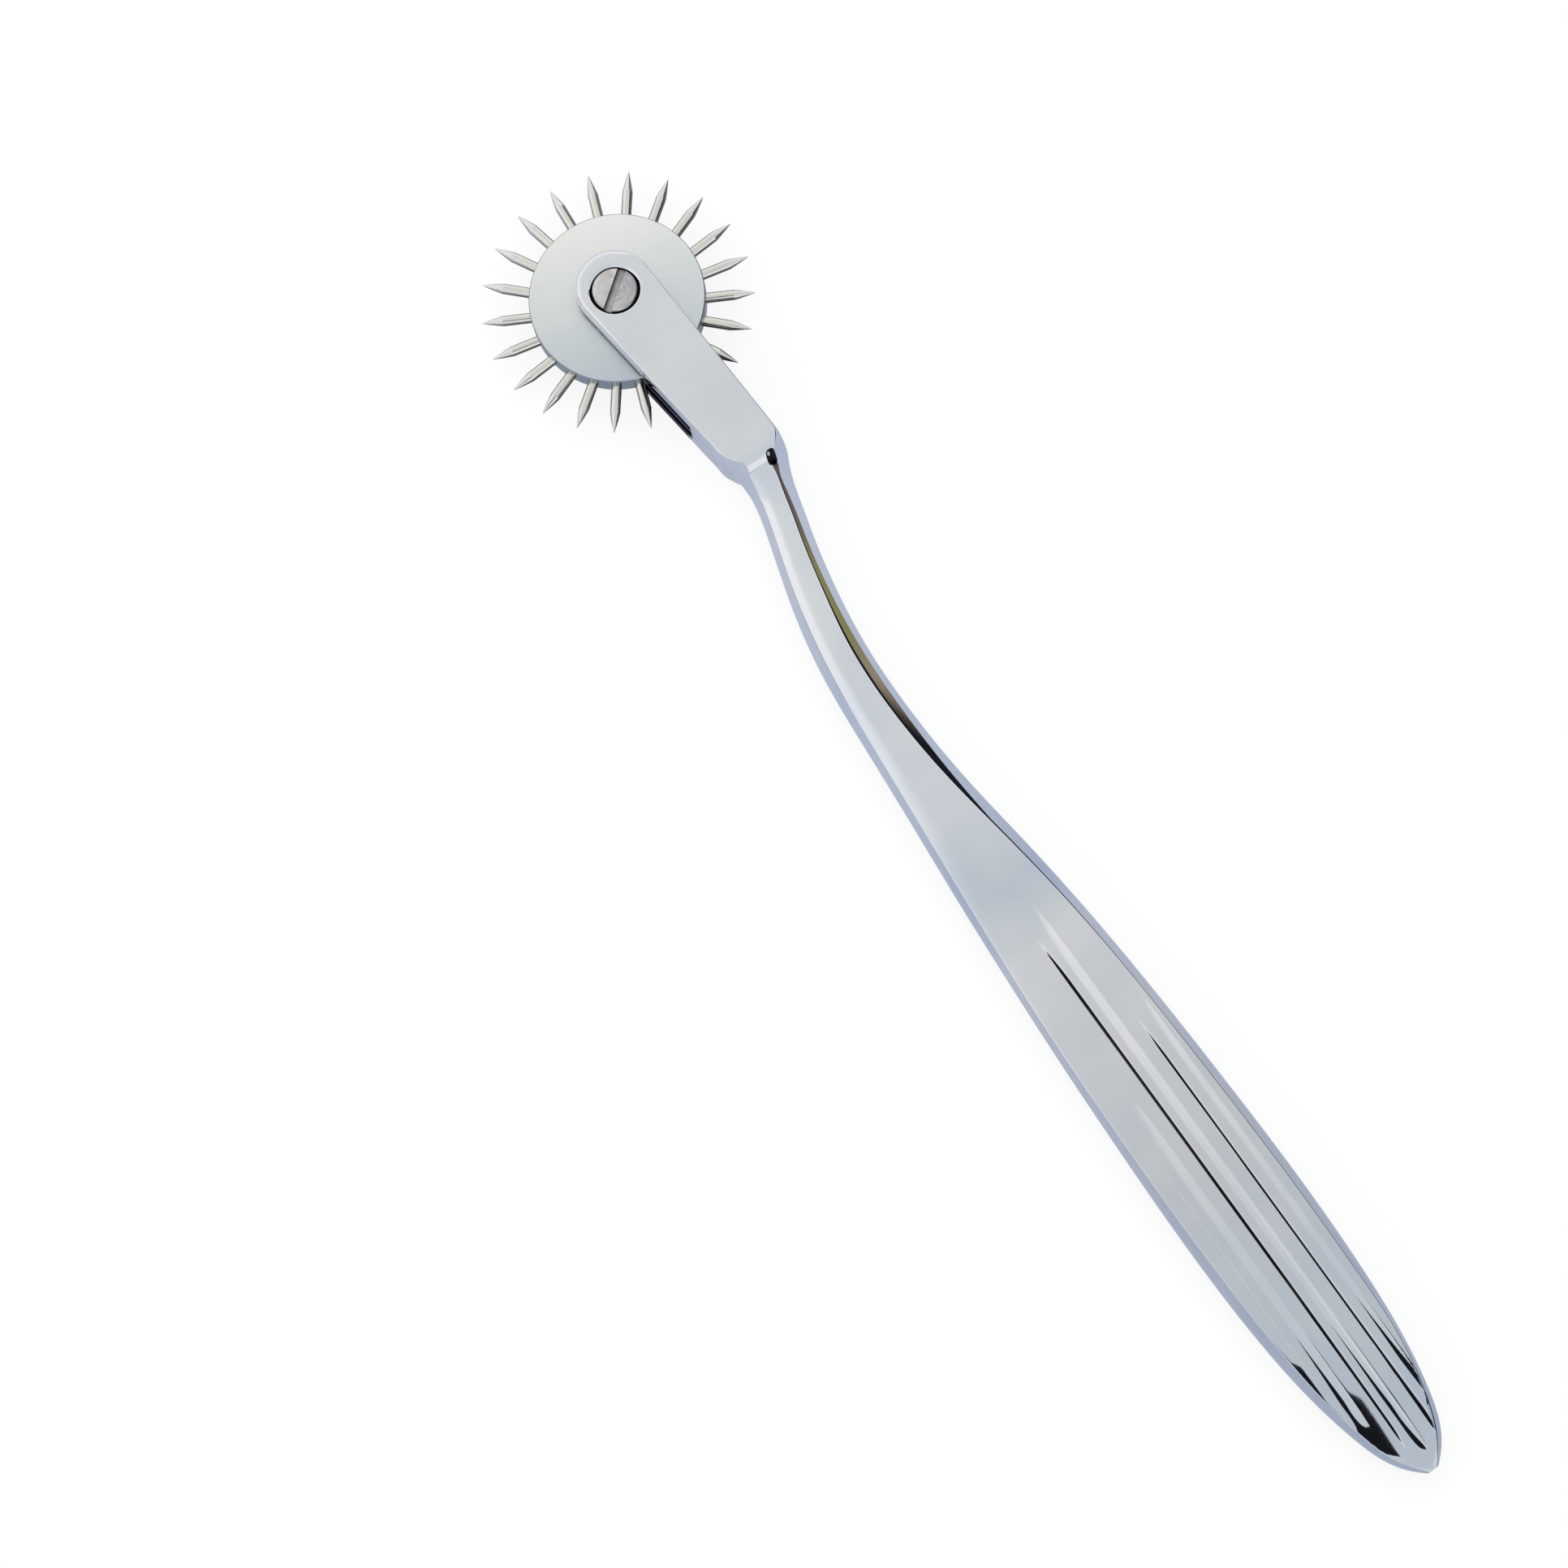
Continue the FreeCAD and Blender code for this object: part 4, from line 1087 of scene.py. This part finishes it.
def make_camera_shade():
    """The dark shape over the camera, as the polish shows it: a strip that starts behind the
    camera and runs out over the near side of the floor. Only polished surfaces see it."""
    away = Vector((0.79, -0.56, 0)).normalized()
    across = Vector((0.56, 0.79, 0)).normalized()
    start = CAMERA_PLACE + Vector((0, 0, SHADE_ABOVE)) + away * SHADE_START
    end = start + away * SHADE_LENGTH
    corners = [start + across * SHADE_NEAR[0], end + across * SHADE_FAR[0],
               end + across * SHADE_FAR[1], start + across * SHADE_NEAR[1]]
    material = bpy.data.materials.new("camera_shade")
    material.use_nodes = True
    web = Web(material.node_tree)
    glow = web.node("ShaderNodeEmission", {"Color": colour4(DARK)})
    web.feed(material.node_tree.nodes["Material Output"].inputs["Surface"], glow.outputs[0])
    card = make_sheet("camera_shade", [tuple(corner) for corner in corners], material)
    card.visible_camera = card.visible_diffuse = card.visible_shadow = False
    card.visible_transmission = False


def mix_shaders(web, factor, a, b):
    node = web.node("ShaderNodeMixShader", {0: factor})
    web.feed(node.inputs[1], a.outputs[0])
    web.feed(node.inputs[2], b.outputs[0])
    return node


def make_floor(settings):
    """The pale floor just under the part: white to the camera with the part's faint shadow,
    and a pale lavender sheet as polished metal shows it."""
    material = bpy.data.materials.new("floor_sheet")
    material.use_nodes = True
    web = Web(material.node_tree)
    nodes = material.node_tree.nodes
    paper = nodes["Principled BSDF"]
    paper.inputs["Base Color"].default_value = colour4(FLOOR_WHITE)
    paper.inputs["Roughness"].default_value = 0.9
    paper.inputs["Specular IOR Level"].default_value = 0.0
    white = web.node("ShaderNodeEmission", {"Color": (1, 1, 1, 1), "Strength": 1.0})
    tint = {"Color": colour4(settings.floor_reflected)}
    shown = mix_shaders(web, settings.floor_glow, paper, white)
    reflected = mix_shaders(web, 0.5, web.node("ShaderNodeBsdfDiffuse", tint),
                            web.node("ShaderNodeEmission", tint))
    path = web.node("ShaderNodeLightPath").outputs
    both = mix_shaders(web, path["Is Glossy Ray"], shown, reflected)
    web.feed(nodes["Material Output"].inputs["Surface"], both.outputs[0])
    half, level = FLOOR_HALF, FLOOR_LEVEL
    floor = make_sheet("floor", [(-half, -half, level), (half, -half, level),
                                 (half, half, level), (-half, half, level)], material)


def make_camera():
    """The camera of the photograph."""
    data = bpy.data.cameras.new("camera")
    data.lens = CAMERA_LENS
    data.sensor_width = CAMERA_SENSOR
    data.clip_start = 0.01
    camera = bpy.data.objects.new("camera", data)
    bpy.context.scene.collection.objects.link(camera)
    right = CAMERA_AHEAD.cross(CAMERA_UP).normalized()
    up = right.cross(CAMERA_AHEAD)
    turn = Matrix((right, up, -CAMERA_AHEAD)).transposed().to_4x4()
    camera.matrix_world = Matrix.Translation(CAMERA_PLACE) @ turn
    bpy.context.scene.camera = camera


def make_lamp(power):
    """A soft lamp over the floor, aimed at the handle, unseen in the polish."""
    data = bpy.data.lights.new("overhead_lamp", "AREA")
    data.shape = "DISK"
    data.size = LAMP_SIZE
    data.energy = power
    lamp = bpy.data.objects.new("overhead_lamp", data)
    bpy.context.scene.collection.objects.link(lamp)
    lamp.location = LAMP_PLACE
    aim = Vector(LAMP_AIM) - Vector(LAMP_PLACE)
    lamp.rotation_euler = aim.to_track_quat("-Z", "Y").to_euler()
    lamp.visible_glossy = False


# Settings

def colour_setting(name, text, value):
    return FloatVectorProperty(name=name, description=text, default=value, size=3,
                               subtype="COLOR", min=0, max=1)


def length_setting(name, text, value):
    return FloatProperty(name=name, description=text, default=value * MM, unit="LENGTH")


def share_setting(name, text, value):
    return FloatProperty(name=name, description=text, default=value, min=0, max=1)


def degrees_setting(name, text, value):
    return FloatProperty(name=name, description=text + ", in degrees", default=value)


class PINWHEEL_PG_handle(bpy.types.PropertyGroup):
    """Sizes of the handle's dressed surface."""
    grip_middle: length_setting("Grip middle", "Height of the middle groove", -3.62)
    groove_pitch: length_setting("Groove pitch", "From one groove to the next", 3.85)
    groove_width: length_setting("Groove width", "Width of a groove at the face", 2.3)
    groove_depth: length_setting("Groove depth", "Depth of a groove", 0.36)
    groove_lip: length_setting("Groove lip", "Depth over which a groove's lip is rounded", 0.02)


class PINWHEEL_PG_finish(bpy.types.PropertyGroup):
    """Colours and roughness of the metals."""
    handle_colour: colour_setting("Handle", "Colour of the polish", (0.85, 0.855, 0.86))
    handle_cloud: colour_setting("Handle clouds", "Colour of its clouds", (0.805, 0.82, 0.85))
    handle_roughness: share_setting("Handle roughness", "Of the polish", 0.035)
    disc_colour: colour_setting("Disc", "Colour of the satin disc", (1.0, 1.0, 0.94))
    disc_cloud: colour_setting("Disc clouds", "Colour of its clouds", (0.96, 0.97, 0.93))
    # The share of the disc's colour at the dark end of its painted light.
    disc_painted_shade: colour_setting("Disc's far side", "Share of its colour left where it turns away "
                             "from the light", (0.62, 0.67, 0.74))
    disc_roughness: share_setting("Disc roughness", "Of the satin", 0.34)
    pin_colour: colour_setting("Pins", "Colour of the pins", (0.80, 0.78, 0.71))
    pin_roughness: share_setting("Pin roughness", "Of the ground pins", 0.16)
    screw_colour: colour_setting("Screw", "Colour of the screw", (0.86, 0.82, 0.77))
    screw_cloud: colour_setting("Screw clouds", "Colour of its clouds", (0.70, 0.67, 0.66))
    screw_roughness: share_setting("Screw roughness", "Of the turned head", 0.30)


class PINWHEEL_PG_studio(bpy.types.PropertyGroup):
    """The light and the floor."""
    wall_top: degrees_setting("Wall top", "Height of the far walls", 34.0)
    near_wall_top: degrees_setting("Near wall top", "Height of the walls on the other sides", 24.0)
    skirt_top: degrees_setting("Skirt top", "Height of the dark skirt on the near side", 9.0)
    drape_foot: degrees_setting("Drape foot", "Height of the lower edge of the black drape", 19.0)
    ceiling_left: colour_setting("Ceiling, left", "Towards the nose", (0.80, 0.81, 0.81))
    ceiling_right: colour_setting("Ceiling, right", "Towards the tip", (0.72, 0.76, 0.80))
    floor_reflected: colour_setting("Floor reflected", "The sheet in the polish",
                                    (0.53, 0.57, 0.675))
    floor_glow: share_setting("Floor glow", "Share of the floor's white that takes no shadow",
                              0.84)
    lamp_power: FloatProperty(name="Lamp power", description="Of the soft lamp", default=3.0,
                              unit="POWER")


# Operators

def paint(node, material):
    """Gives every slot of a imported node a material."""
    for slot in frame["nodes"][node].material_slots:
        slot.material = material


class PINWHEEL_OT_handle(bpy.types.Operator):
    """Make the polished handle's surface and finish"""
    bl_idname = "pinwheel.handle"
    bl_label = "Handle"

    def execute(self, context):
        skin = make_handle_skin(context.scene.pinwheel_handle)
        piece = skin.finish("polished_handle", "handle", "polished_steel",
                            math.radians(SHARP_TURN))
        piece.data.materials.append(mirror_polish(context.scene.pinwheel_finish))
        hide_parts("handle")
        return {"FINISHED"}


class PINWHEEL_OT_wheel(bpy.types.Operator):
    """Finish the wheel's disc and its ring of pins"""
    bl_idname = "pinwheel.wheel"
    bl_label = "Wheel"

    def execute(self, context):
        finish = context.scene.pinwheel_finish
        paint("wheel_disc", satin_disc(finish))
        steel = ground_pins(finish)
        for name in frame["nodes"]:
            if name.startswith("pin_"):
                paint(name, steel)
        return {"FINISHED"}


class PINWHEEL_OT_screw(bpy.types.Operator):
    """Finish the axle screw"""
    bl_idname = "pinwheel.screw"
    bl_label = "Axle screw"

    def execute(self, context):
        paint("axle_screw", turned_screw(context.scene.pinwheel_finish))
        return {"FINISHED"}


class PINWHEEL_OT_studio(bpy.types.Operator):
    """Lay the floor and set the light and the camera"""
    bl_idname = "pinwheel.studio"
    bl_label = "Studio"

    def execute(self, context):
        settings = context.scene.pinwheel_studio
        context.scene.view_settings.view_transform = "Standard"
        make_sky(settings)
        make_floor(settings)
        make_camera_shade()
        make_lamp(settings.lamp_power)
        make_camera()
        return {"FINISHED"}


class PINWHEEL_PT_panel(bpy.types.Panel):
    """The pinwheel's pieces and settings"""
    bl_label = "Pinwheel"
    bl_idname = "PINWHEEL_PT_panel"
    bl_space_type = "VIEW_3D"
    bl_region_type = "UI"
    bl_category = "Pinwheel"

    def draw(self, context):
        for group in GROUPS:
            settings = getattr(context.scene, "pinwheel_" + group)
            box = self.layout.box()
            for name in settings.__annotations__:
                box.prop(settings, name)
        for operator in OPERATORS:
            self.layout.operator(operator.bl_idname)


OPERATORS = (PINWHEEL_OT_handle, PINWHEEL_OT_wheel, PINWHEEL_OT_screw, PINWHEEL_OT_studio)
GROUPS = {"handle": PINWHEEL_PG_handle, "finish": PINWHEEL_PG_finish,
          "studio": PINWHEEL_PG_studio}


def register():
    for kind in (*GROUPS.values(), *OPERATORS, PINWHEEL_PT_panel):
        bpy.utils.register_class(kind)
    for name, group in GROUPS.items():
        setattr(bpy.types.Scene, "pinwheel_" + name, PointerProperty(type=group))


def unregister():
    for name in GROUPS:
        delattr(bpy.types.Scene, "pinwheel_" + name)
    for kind in (PINWHEEL_PT_panel, *OPERATORS, *GROUPS.values()):
        bpy.utils.unregister_class(kind)


def main():
    register()
    bpy.ops.pinwheel.handle()
    bpy.ops.pinwheel.wheel()
    bpy.ops.pinwheel.screw()
    bpy.ops.pinwheel.studio()


if __name__ == "__main__":
    main()
